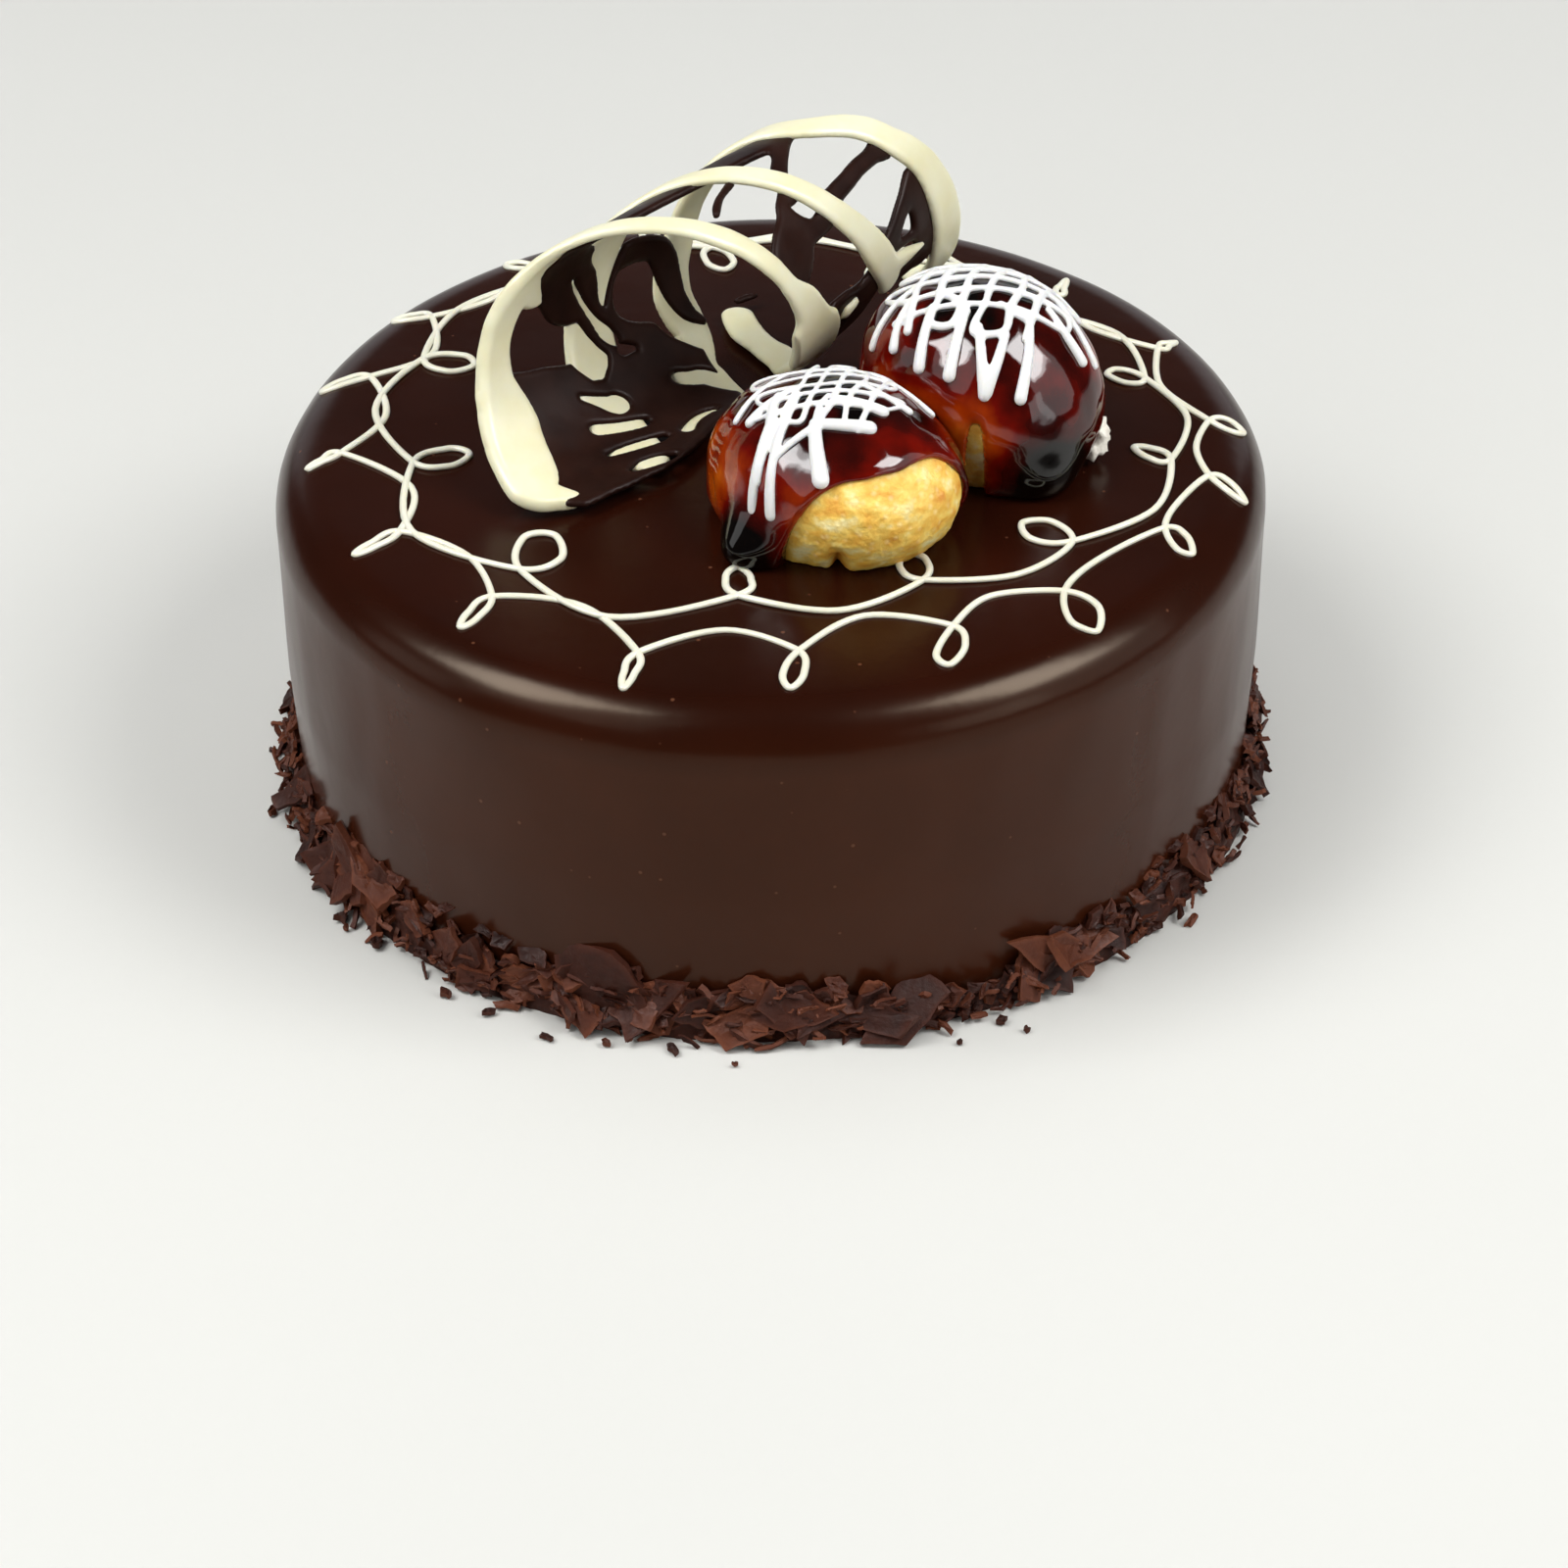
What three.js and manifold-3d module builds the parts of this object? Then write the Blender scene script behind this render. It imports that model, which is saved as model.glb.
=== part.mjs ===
// Profiterole cake: a round glazed cake with chocolate flakes round its foot and two piped
// scroll lines on its top, which carries two caramel-dipped choux puffs and a rolled lattice
// of white and dark chocolate. Millimetres, +Z up. The origin is the centre of the flat base.

import * as THREE from 'three';
import { mergeVertices } from 'three/addons/utils/BufferGeometryUtils.js';
import Module from 'manifold-3d';

const wasm = await Module();
wasm.setup();

const radians = THREE.MathUtils.degToRad;

// Driving dimensions of the glazed body
const CAKE_RADIUS = 90;
const CAKE_HEIGHT = 66.3;
const EDGE_ROUND = 9.5;
const EDGE_TURNS = [0, 25, 48, 70];
const FOOT_RADIUS = 88.9;
const FULL_WIDTH_LEVEL = 0.42 * CAKE_HEIGHT;
const BODY_SIDES = 54;
const OUTLINE_WAVES = [
  { size: 0.005, count: 2, phase: 0.6 },
  { size: 0.003, count: 3, phase: 2 },
];
const GAP = 0.3;
const TOP = CAKE_HEIGHT + GAP;
const SAME_POINT = 0.001;

// Flake collar: a low ramp round the foot, with chips leaning on it in a lower and an upper row
const COLLAR_DEPTH = 2.6;
const COLLAR_HEIGHT = 10;
const COLLAR_SHOULDER = { depth: 0.8 * COLLAR_DEPTH, height: 0.45 * COLLAR_HEIGHT };
const COLLAR_FADE = 16;
const CHIP_COUNT = 44;
const CHIP_CORNERS = 5;
const CHIP_LENGTH = [9, 22];
const CHIP_WIDTH = [7, 13];
const CHIP_THICKNESS = 1.3;
const CHIP_BEND = [0.4, 1.4];
const CHIP_CORNER_REACH = [0.375, 0.55];
const CHIP_CORNER_SHIFT = 0.25;
const CHIP_PLACE_SHIFT = 0.7;
const CHIP_ROWS = [
  { height: [2, 5], lean: [0.1, 0.8] },
  { height: [7, 12], lean: [0.06, 0.48] },
];
const CHIP_PROUD = [0.8, 2.4];
const CHIP_TILT = [-0.9, 0.9];
const CHIP_TWIST = [-0.35, 0.35];
const COARSE_SIDE = radians(230);
const COARSE_SHARE = 0.65;
const CHIP_SEED = 2063;

// Piped scrolls: angles of the loops in degrees, counted from +X towards +Y
const PIPE_WIDTH = 2.3;
const PIPE_HEIGHT = 1.1;
const PIPE_SUNK = 0.5;
const LOOP_SWING = 0.35;
const LOOP_POINT = 1.5;
const LOOP_SHARES = [0, 0.075, 0.165, 0.29, 0.5, 0.71, 0.835, 0.925];
const OUTER_LOOPS = [-153, -131, -108, -87, -65, -47, -26, -11, 3, 23, 44, 65, 86, 107, 127, 147, 166, 186];
const INNER_LOOPS = [-142, -97, -60, -33, -5, 18, 44, 71, 97, 127, 156, 186];

const OUTER_RING = { radius: 72.5, offset: 5.5, towards: radians(45), loopLength: 12, direction: 1 };
const INNER_RING = { radius: 68, sideSwell: 4, frontDip: 12, loopLength: 10, direction: -1 };

// Choux puffs: place on the cake's top, half sizes along and across, overall height, and the bare
// side as [bearing, half width, upper edge] in degrees
const PUFF_TURN = THREE.MathUtils.degToRad(-45);
const HEART_SHARE = 0.51;
const CARAMEL = 1.5;
const PUFF_AROUND = 18;
const PUFF_DOWN = 11;
const LUMP_SIZE = 0.018;
const LUMP_WAVES = { x: 4, y: 3.6, z: 5, slant: 2 };
const PUFFS = {
  front: { at: [11.5, -26], along: 23.3, across: 19.5, high: 24.8, lump: 0.4, bare: [-72, 46, 27], seed: 31 },
  back: { at: [38, 0], along: 22.3, across: 18.8, high: 31.2, lump: 2.1, bare: [-94, 9, 12], seed: 77 },
};

// Edge of the caramel over the bare side of a puff, in degrees above the heart
const BARE_FOOT = -32;
const BARE_FLOOR = -40;
const BARE_ARCH = 2.4;
const BARE_STEPS = 8;

// Icing threads on the caramel: two crossing sets of lines, and drips as [bearing, from, to], all
// in degrees from the puff's top
const THREAD_WIDTH = 1.5;
const THREAD_HEIGHT = 0.6;
const THREAD_SUNK = 0.7;
const THREAD_SPACING = 15;
const THREAD_STEP = 22;
const THREAD_FEWEST_STEPS = 3;
const THREAD_JITTER = 2;
const THREAD_CAP = 60;
const THREAD_REACH = [0.9, 1.1];
const THREAD_SETS = [
  { turn: -4, count: 3, reach: 47 },
  { turn: 52, count: 3, reach: 42 },
];
const DRIPS = {
  front: [
    [-135, 30, 82], [-121, 30, 80], [-100, 26, 62], [-57, 18, 36], [0, 30, 56], [178, 34, 58],
  ],
  back: [
    [-129, 30, 54], [-109, 28, 56], [-88, 28, 63], [-72, 28, 66], [-24, 34, 63], [-12, 40, 70], [187, 36, 62],
  ],
};

// Rolled lattice: a strip wound on a slanting tube, placed by a strip share and a roll angle
const CURL_TURN = THREE.MathUtils.degToRad(66.8);
const CURL_FOOT = [-35, -31];
const CURL_LIFT = 1.7;
const CURL_HALF_WIDTH = 21;
const CURL_HALF_HEIGHT = 19.7;
const CURL_GROWTH = 0.108;
const CURL_TAPER = 3.3;
const CURL_SHIFT = 12.3;
const CURL_ADVANCE = 70;
const CURL_ADVANCE_LOSS = 8.9;
const STRIP_WIDTH = 52;
const STRIP_THICKNESS = 2;
const LAYER_OFFSET = 0.35;
const RIBBON_CREST = 0.75;
const RIBBON_BACK = 0.8;
const FRONT_LINE = 0.02;
const MID_LINE = 0.465;
const FAR_LINE = 1;
const WHITE_LINES = [
  { share: [FRONT_LINE, FRONT_LINE], turn: [9, 318], wide: [10.5, 6.4], ends: 5 },
  { share: [FRONT_LINE, 0.17], turn: [308, 374], wide: [6.4, 6], ends: 4 },
  { share: [MID_LINE, MID_LINE], turn: [-6, 283], wide: [5.8, 6.2], ends: 4 },
  { share: [FAR_LINE, FAR_LINE], turn: [2, 332], wide: [6, 9.5], ends: 4 },
];
const WHITE_STEP = 13;
const WIDTH_SETTLES = 0.45;
const END_GROWTH = 30;
const DARK_STRANDS = [
  [[0.04, 108], [0.94, 52]],
  [[0.04, 128], [0.94, 96]],
  [[0.04, 158], [0.96, 172]],
  [[0.04, 252], [0.94, 160]],
  [[0.04, 247], [0.94, 222]],
  [[0.02, 300], [0.94, 230]],
  [[0.03, 314], [MID_LINE, 280], [0.97, 290]],
];
const STRAND_WIDTH = 6.4;
const STRAND_PINCH = 0.3;
const STRAND_STEPS = 6;

// Closed dark floor of the lattice: shares across the strip, and roll angles of its two wavy edges
const SHEET_SHARES = [0.03, 0.97];
const SHEET_ANGLES = [-6, 62];
const SHEET_NEAR_EDGE = { rise: 10, lowest: 0.6 };
const SHEET_FAR_EDGE = { wave: 9, waves: 9, fall: 30 };
const SHEET_THICKNESS = 0.8 * STRIP_THICKNESS;
const SHEET_ROWS = 7;
const SHEET_STEPS = 6;

const FINISHES = {
  ganache: { color: 0x33170f, roughness: 0.3, metalness: 0 },
  choux: { color: 0xdfb45a, roughness: 0.8, metalness: 0 },
  caramel: { color: 0x7a1f06, roughness: 0.1, metalness: 0 },
  chocolate: { color: 0xe9e4c8, roughness: 0.35, metalness: 0 },
};

// Repeatable draws between 0 and 1
function makeDraw(seed) {
  let state = seed;
  return () => {
    state = (state * 16807) % 2147483647;
    return state / 2147483647;
  };
}

const between = ([low, high], share) => low + (high - low) * share;

// Closed geometry with shared corners and no collapsed triangles
function tidyGeometry(geometry, tolerance) {
  const bare = geometry.clone();
  bare.deleteAttribute('normal');
  bare.deleteAttribute('uv');
  const merged = mergeVertices(bare, tolerance);
  const index = merged.index.array;
  const kept = [];
  for (let i = 0; i < index.length; i += 3) {
    const [a, b, c] = [index[i], index[i + 1], index[i + 2]];
    if (a !== b && b !== c && c !== a) {
      kept.push(a, b, c);
    }
  }
  merged.setIndex(kept);
  return merged;
}

function solidOf(geometry, tolerance = SAME_POINT / 10) {
  const tidy = tidyGeometry(geometry, tolerance);
  const vertProperties = new Float32Array(tidy.attributes.position.array);
  const triVerts = new Uint32Array(tidy.index.array);
  return new wasm.Manifold(new wasm.Mesh({ numProp: 3, vertProperties, triVerts }));
}

function joined(solids) {
  return solids.reduce((sum, solid) => sum.add(solid));
}

function geometryOf(solid) {
  const { vertProperties, triVerts } = solid.getMesh();
  const geometry = new THREE.BufferGeometry();
  geometry.setAttribute('position', new THREE.Float32BufferAttribute(vertProperties, 3));
  geometry.setIndex([...triVerts]);
  return geometry;
}

// A solid's outer skin alone: sealed hollows are filled and loose scraps dropped
function outerSkin(solid) {
  const skins = solidOf(geometryOf(solid), SAME_POINT).decompose();
  return skins.reduce((best, skin) => (skin.volume() > best.volume() ? skin : best));
}

function meshOf(name, solid, finish) {
  const geometry = geometryOf(outerSkin(solid));
  geometry.computeVertexNormals();
  const mesh = new THREE.Mesh(geometry, new THREE.MeshStandardMaterial(finish));
  mesh.name = name;
  return mesh;
}

function geometryFrom(points, triangles) {
  const geometry = new THREE.BufferGeometry();
  const flat = points.flatMap((point) => point.toArray());
  geometry.setAttribute('position', new THREE.Float32BufferAttribute(flat, 3));
  geometry.setIndex(triangles);
  return geometry;
}

// Closed solid through a row of rings that all have the same number of corners
function loft(rings) {
  const corners = rings[0].length;
  const last = (rings.length - 1) * corners;
  const triangles = [];
  for (let row = 0; row < last; row += corners) {
    for (let i = 0; i < corners; i += 1) {
      const next = (i + 1) % corners;
      triangles.push(row + i, row + next, row + corners + next);
      triangles.push(row + i, row + corners + next, row + corners + i);
    }
  }
  for (let i = 1; i < corners - 1; i += 1) {
    triangles.push(0, i + 1, i);
    triangles.push(last, last + i, last + i + 1);
  }
  return solidOf(geometryFrom(rings.flat(), triangles));
}

// Ridged sections along a row of points on a surface, sunk a little into it
function ridgeRings(points, normals, width, height, sunk) {
  return points.map((point, i) => {
    const ahead = points[Math.min(i + 1, points.length - 1)];
    const behind = points[Math.max(i - 1, 0)];
    const run = ahead.clone().sub(behind).normalize();
    const side = normals[i].clone().cross(run).normalize();
    const corner = (across, up) => point.clone()
      .addScaledVector(side, across)
      .addScaledVector(normals[i], up);
    return [corner(width / 2, -sunk), corner(0, height), corner(-width / 2, -sunk)];
  });
}

// Everything above a level
function blockAbove(level) {
  const size = 4 * CAKE_RADIUS;
  const block = new THREE.BoxGeometry(size, size, size);
  block.translate(0, 0, level + size / 2);
  return solidOf(block);
}

// Height of the cake's top, which falls away at the rounded edge
function topHeight(radius) {
  const past = Math.max(0, radius - (CAKE_RADIUS - EDGE_ROUND));
  return CAKE_HEIGHT - EDGE_ROUND + Math.sqrt(Math.max(0, EDGE_ROUND ** 2 - past ** 2));
}

// Hand-made unevenness of the cake's outline
function roundness(angle) {
  return OUTLINE_WAVES.reduce((sum, wave) => sum + wave.size * Math.sin(wave.count * angle + wave.phase), 1);
}

function glazedBody() {
  const profile = [
    [0, 0],
    [FOOT_RADIUS + COLLAR_DEPTH, 0],
    [FOOT_RADIUS + COLLAR_SHOULDER.depth, COLLAR_SHOULDER.height],
    [FOOT_RADIUS + GAP, COLLAR_HEIGHT],
    [CAKE_RADIUS, FULL_WIDTH_LEVEL],
  ];
  for (const degrees of EDGE_TURNS) {
    const turn = radians(degrees);
    const radius = CAKE_RADIUS - EDGE_ROUND + EDGE_ROUND * Math.cos(turn);
    profile.push([radius, CAKE_HEIGHT - EDGE_ROUND + EDGE_ROUND * Math.sin(turn)]);
  }
  profile.push([CAKE_RADIUS - EDGE_ROUND, CAKE_HEIGHT], [0, CAKE_HEIGHT]);
  const body = new THREE.LatheGeometry(profile.map(([r, h]) => new THREE.Vector2(r, h)), BODY_SIDES);
  body.rotateX(Math.PI / 2);
  const position = body.attributes.position;
  for (let i = 0; i < position.count; i += 1) {
    const factor = roundness(Math.atan2(position.getY(i), position.getX(i)));
    position.setXY(i, position.getX(i) * factor, position.getY(i) * factor);
  }
  return solidOf(body);
}

// One chip: a many-sided plate bent along its length
function chip(draw, length, width) {
  const bend = between(CHIP_BEND, draw()) / length;
  const rim = [[0, 0]];
  for (let i = 0; i < CHIP_CORNERS; i += 1) {
    const angle = ((i + CHIP_CORNER_SHIFT * draw()) * 2 * Math.PI) / CHIP_CORNERS;
    const reach = between(CHIP_CORNER_REACH, draw());
    rim.push([reach * Math.cos(angle) * length, reach * Math.sin(angle) * width]);
  }
  const height = (side, u) => side * CHIP_THICKNESS / 2 - bend * u * u;
  const layer = (side) => rim.map(([u, v]) => new THREE.Vector3(u, v, height(side, u)));
  const points = [...layer(-1), ...layer(1)];
  const top = rim.length;
  const triangles = [];
  for (let i = 0; i < CHIP_CORNERS; i += 1) {
    const [a, b] = [1 + i, 1 + (i + 1) % CHIP_CORNERS];
    triangles.push(0, b, a, top, top + a, top + b, a, b, top + b, a, top + b, top + a);
  }
  return geometryFrom(points, triangles);
}

// Chips spread evenly round the foot, larger at the front left, finer on the right
function flakeCollar() {
  const draw = makeDraw(CHIP_SEED);
  const chips = [];
  for (let i = 0; i < CHIP_COUNT; i += 1) {
    const angle = ((i + CHIP_PLACE_SHIFT * draw()) / CHIP_COUNT) * 2 * Math.PI;
    const coarse = 0.5 + 0.5 * Math.cos(angle - COARSE_SIDE);
    const size = (1 - COARSE_SHARE) * draw() + COARSE_SHARE * coarse * Math.sqrt(draw());
    const geometry = chip(draw, between(CHIP_LENGTH, size), between(CHIP_WIDTH, size));
    const row = CHIP_ROWS[i % CHIP_ROWS.length];
    const height = between(row.height, draw());
    const lean = between(row.lean, draw());
    const proud = between(CHIP_PROUD, draw());
    const radius = FOOT_RADIUS * roundness(angle) + COLLAR_DEPTH * (1 - height / COLLAR_FADE) + proud;
    geometry.rotateZ(between(CHIP_TILT, draw()));
    geometry.rotateX(Math.PI / 2 - lean);
    geometry.rotateZ(angle + Math.PI / 2 + between(CHIP_TWIST, draw()));
    geometry.translate(radius * Math.cos(angle), radius * Math.sin(angle), height);
    chips.push(solidOf(geometry));
  }
  return chips;
}

// Radius that the outer scroll keeps between its loops: a ring set a little off centre
function outerBase(angle) {
  return OUTER_RING.radius + OUTER_RING.offset * Math.cos(angle - OUTER_RING.towards);
}

// Radius that the inner scroll keeps: wide at the sides, drawn in at the front
function innerBase(angle) {
  const swell = INNER_RING.sideSwell * Math.abs(Math.cos(angle));
  return INNER_RING.radius + swell - INNER_RING.frontDip * Math.max(0, -Math.sin(angle));
}

// Point of a scroll at some share of the way from one loop's tip to the next
function scrollPoint(from, to, share, ring, base) {
  const swing = share - LOOP_SWING * Math.sin(2 * Math.PI * share);
  const angle = radians(from + (to - from) * swing);
  const middle = radians(from + (to - from) * share);
  const reach = ring.loopLength * (0.5 + 0.5 * Math.cos(2 * Math.PI * share)) ** LOOP_POINT;
  const radius = base(middle) + ring.direction * reach;
  const height = topHeight(radius / roundness(angle));
  return new THREE.Vector3(radius * Math.cos(angle), radius * Math.sin(angle), height);
}

// Beads of one closed scroll, each from the tip of a loop to the tip of the next
function scroll(loops, ring, base) {
  const points = [];
  loops.forEach((from, k) => {
    const to = k + 1 < loops.length ? loops[k + 1] : loops[0] + 360;
    LOOP_SHARES.forEach((share) => points.push(scrollPoint(from, to, share, ring, base)));
  });
  const count = points.length;
  const steps = LOOP_SHARES.length;
  const closed = [points[count - 1], ...points, points[0], points[1]];
  const normals = closed.map(() => new THREE.Vector3(0, 0, 1));
  const rings = ridgeRings(closed, normals, PIPE_WIDTH, PIPE_HEIGHT, PIPE_SUNK).slice(1, count + 2);
  return loops.map((_, k) => loft(rings.slice(k * steps, (k + 1) * steps + 1)));
}

function cake() {
  const pieces = [
    glazedBody(),
    ...flakeCollar(),
    ...scroll(OUTER_LOOPS, OUTER_RING, outerBase),
    ...scroll(INNER_LOOPS, INNER_RING, innerBase),
  ];
  return joined(pieces).intersect(blockAbove(0));
}

function puffHeart(puff) {
  const halfHigh = puff.high / (1 + HEART_SHARE);
  return new THREE.Vector3(puff.at[0], puff.at[1], TOP + puff.high - halfHigh);
}

// Distance from a puff's heart to its skin, with the soft lumps of baked choux
function puffReach(puff, way) {
  const halfHigh = puff.high / (1 + HEART_SHARE);
  const turned = way.clone().applyAxisAngle(new THREE.Vector3(0, 0, 1), -PUFF_TURN);
  const egg = Math.hypot(turned.x / puff.along, turned.y / puff.across, turned.z / halfHigh);
  const sideways = Math.sin(LUMP_WAVES.x * way.x + puff.lump) * Math.sin(LUMP_WAVES.y * way.y - puff.lump);
  const upright = Math.sin(LUMP_WAVES.z * way.z + LUMP_WAVES.slant * way.x);
  return (1 + LUMP_SIZE * (sideways + upright)) / egg;
}

// A puff's form grown outwards by some amount
function puffBall(puff, grown) {
  const ball = new THREE.SphereGeometry(1, PUFF_AROUND, PUFF_DOWN);
  ball.rotateX(Math.PI / 2);
  const heart = puffHeart(puff);
  const position = ball.attributes.position;
  for (let i = 0; i < position.count; i += 1) {
    const way = new THREE.Vector3().fromBufferAttribute(position, i).normalize();
    const point = heart.clone().addScaledVector(way, puffReach(puff, way) + grown);
    position.setXYZ(i, point.x, point.y, point.z);
  }
  return solidOf(ball);
}

// Direction at an angle from straight up, towards a compass bearing
function wayAt(bearing, fromTop) {
  const tilt = radians(fromTop);
  const turn = radians(bearing);
  return new THREE.Vector3(Math.sin(tilt) * Math.cos(turn), Math.sin(tilt) * Math.sin(turn), Math.cos(tilt));
}

// The side of a puff that the caramel leaves bare: a wedge from the heart, under a curved edge
function bareWedge(puff) {
  const [middle, halfWidth, edge] = puff.bare;
  const steps = BARE_STEPS;
  const heart = puffHeart(puff);
  const far = 3 * puff.along;
  const upper = [];
  const lower = [];
  for (let i = 0; i <= steps; i += 1) {
    const share = (2 * i) / steps - 1;
    const bearing = middle + halfWidth * share;
    const rise = BARE_FOOT + (edge - BARE_FOOT) * (1 - Math.abs(share) ** BARE_ARCH);
    upper.push(heart.clone().addScaledVector(wayAt(bearing, 90 - rise), far));
    lower.push(heart.clone().addScaledVector(wayAt(bearing, 90 - BARE_FLOOR), far));
  }
  const points = [heart, ...upper, ...lower];
  const [up, low] = [1, 2 + steps];
  const triangles = [];
  for (let i = 0; i < steps; i += 1) {
    triangles.push(up + i, low + i, low + i + 1, up + i, low + i + 1, up + i + 1);
    triangles.push(0, up + i, up + i + 1, 0, low + i + 1, low + i);
  }
  triangles.push(0, low, up, 0, up + steps, low + steps);
  return solidOf(geometryFrom(points, triangles));
}

// Bead of icing along a straight line on the map of angles from the puff's top
function thread(puff, start, end) {
  const heart = puffHeart(puff);
  const length = Math.hypot(end[0] - start[0], end[1] - start[1]);
  const steps = Math.max(THREAD_FEWEST_STEPS, Math.round(length / THREAD_STEP));
  const points = [];
  const normals = [];
  for (let i = 0; i <= steps; i += 1) {
    const x = between([start[0], end[0]], i / steps);
    const y = between([start[1], end[1]], i / steps);
    const way = wayAt(THREE.MathUtils.radToDeg(Math.atan2(y, x)), Math.hypot(x, y));
    points.push(heart.clone().addScaledVector(way, puffReach(puff, way) + CARAMEL));
    normals.push(way);
  }
  return loft(ridgeRings(points, normals, THREAD_WIDTH, THREAD_HEIGHT, THREAD_SUNK));
}

function icing(puff, drips) {
  const draw = makeDraw(puff.seed);
  const threads = [];
  for (const set of THREAD_SETS) {
    const along = [Math.cos(radians(set.turn)), Math.sin(radians(set.turn))];
    for (let i = 0; i < set.count; i += 1) {
      const aside = (i - (set.count - 1) / 2) * THREAD_SPACING + THREAD_JITTER * draw();
      const reach = set.reach * Math.sqrt(1 - (aside / THREAD_CAP) ** 2) * between(THREAD_REACH, draw());
      const place = (run) => [along[0] * run - along[1] * aside, along[1] * run + along[0] * aside];
      threads.push(thread(puff, place(-reach), place(reach)));
    }
  }
  for (const [bearing, from, to] of drips) {
    const turn = radians(bearing);
    const place = (run) => [run * Math.cos(turn), run * Math.sin(turn)];
    threads.push(thread(puff, place(from), place(to)));
  }
  return threads;
}

function caramelCap(puff, drips) {
  const coat = puffBall(puff, CARAMEL).subtract(bareWedge(puff));
  const dressed = joined([coat, ...icing(puff, drips)]);
  return dressed.subtract(puffBall(puff, GAP)).intersect(blockAbove(TOP));
}

function choux(puff) {
  return puffBall(puff, 0).intersect(blockAbove(TOP));
}

// Place on the rolled strip: share across it from the front edge, and roll angle in degrees
function curlPoint(share, degrees) {
  const roll = radians(degrees);
  const axis = new THREE.Vector3(Math.cos(CURL_TURN), Math.sin(CURL_TURN), 0);
  const side = new THREE.Vector3(axis.y, -axis.x, 0);
  const run = share * STRIP_WIDTH + (CURL_ADVANCE - share * CURL_ADVANCE_LOSS) * degrees / 360;
  const growth = 1 + CURL_GROWTH * degrees / 180;
  const across = share * CURL_SHIFT - (CURL_HALF_WIDTH - share * CURL_TAPER) * growth * Math.sin(roll);
  const up = Math.max(0, CURL_HALF_HEIGHT * (1 - growth * Math.cos(roll)));
  const foot = new THREE.Vector3(CURL_FOOT[0], CURL_FOOT[1], TOP + CURL_LIFT + up);
  return foot.addScaledVector(axis, run).addScaledVector(side, across);
}

function curlNormal(share, degrees) {
  const [shareStep, turnStep] = [0.01, 1];
  const along = curlPoint(share, degrees + turnStep).sub(curlPoint(share, degrees - turnStep));
  const across = curlPoint(share + shareStep, degrees).sub(curlPoint(share - shareStep, degrees));
  return across.cross(along).normalize();
}

// Flat ribbon on the rolled strip through [share, degrees, width] stations
function ribbon(stations, offset) {
  const points = stations.map(([share, degrees]) => curlPoint(share, degrees));
  const rings = stations.map(([share, degrees, width], i) => {
    const normal = curlNormal(share, degrees);
    const ahead = points[Math.min(i + 1, points.length - 1)];
    const behind = points[Math.max(i - 1, 0)];
    const run = ahead.clone().sub(behind).normalize();
    const side = normal.clone().cross(run).normalize();
    const corner = (across, up) => points[i].clone()
      .addScaledVector(side, across * width / 2)
      .addScaledVector(normal, offset + up * STRIP_THICKNESS / 2);
    const [crest, back] = [RIBBON_CREST, RIBBON_BACK];
    return [corner(1, -back), corner(crest, 1), corner(-crest, 1), corner(-1, -back)];
  });
  return loft(rings);
}

function whiteLine(line) {
  const steps = Math.round((line.turn[1] - line.turn[0]) / WHITE_STEP);
  const stations = [];
  for (let i = 0; i <= steps; i += 1) {
    const share = i / steps;
    const body = between(line.wide, Math.min(1, share / WIDTH_SETTLES));
    const width = Math.min(body, line.ends + END_GROWTH * Math.min(share, 1 - share));
    stations.push([between(line.share, share), between(line.turn, share), width]);
  }
  return ribbon(stations, LAYER_OFFSET);
}

function darkStrand(corners) {
  const stations = [];
  for (let k = 0; k + 1 < corners.length; k += 1) {
    const [start, end] = [corners[k], corners[k + 1]];
    for (let i = k ? 1 : 0; i <= STRAND_STEPS; i += 1) {
      const share = i / STRAND_STEPS;
      const pinch = 1 - STRAND_PINCH * Math.sin(2 * Math.PI * share) ** 2;
      stations.push([
        between([start[0], end[0]], share),
        between([start[1], end[1]], share),
        STRAND_WIDTH * pinch,
      ]);
    }
  }
  return ribbon(stations, -LAYER_OFFSET);
}

// Dark floor, where the strands lie side by side without a gap
function floorSheet() {
  const rings = [];
  for (let row = 0; row <= SHEET_ROWS; row += 1) {
    const share = between(SHEET_SHARES, row / SHEET_ROWS);
    const start = SHEET_ANGLES[0] + SHEET_NEAR_EDGE.rise * Math.abs(share - SHEET_NEAR_EDGE.lowest);
    const wave = SHEET_FAR_EDGE.wave * Math.sin(SHEET_FAR_EDGE.waves * share);
    const end = SHEET_ANGLES[1] + wave - SHEET_FAR_EDGE.fall * share;
    const layer = (side, i) => {
      const degrees = between([start, end], i / SHEET_STEPS);
      const offset = side * SHEET_THICKNESS / 2 - LAYER_OFFSET;
      return curlPoint(share, degrees).addScaledVector(curlNormal(share, degrees), offset);
    };
    const ring = [];
    for (let i = 0; i <= SHEET_STEPS; i += 1) {
      ring.push(layer(-1, i));
    }
    for (let i = SHEET_STEPS; i >= 0; i -= 1) {
      ring.push(layer(1, i));
    }
    rings.push(ring);
  }
  return loft(rings);
}

function latticeCurl() {
  return joined([...WHITE_LINES.map(whiteLine), ...DARK_STRANDS.map(darkStrand), floorSheet()]);
}

// Room that the back puff leaves for the front one, which leans on it
const frontRoom = puffBall(PUFFS.front, CARAMEL + THREAD_HEIGHT + GAP);

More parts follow.
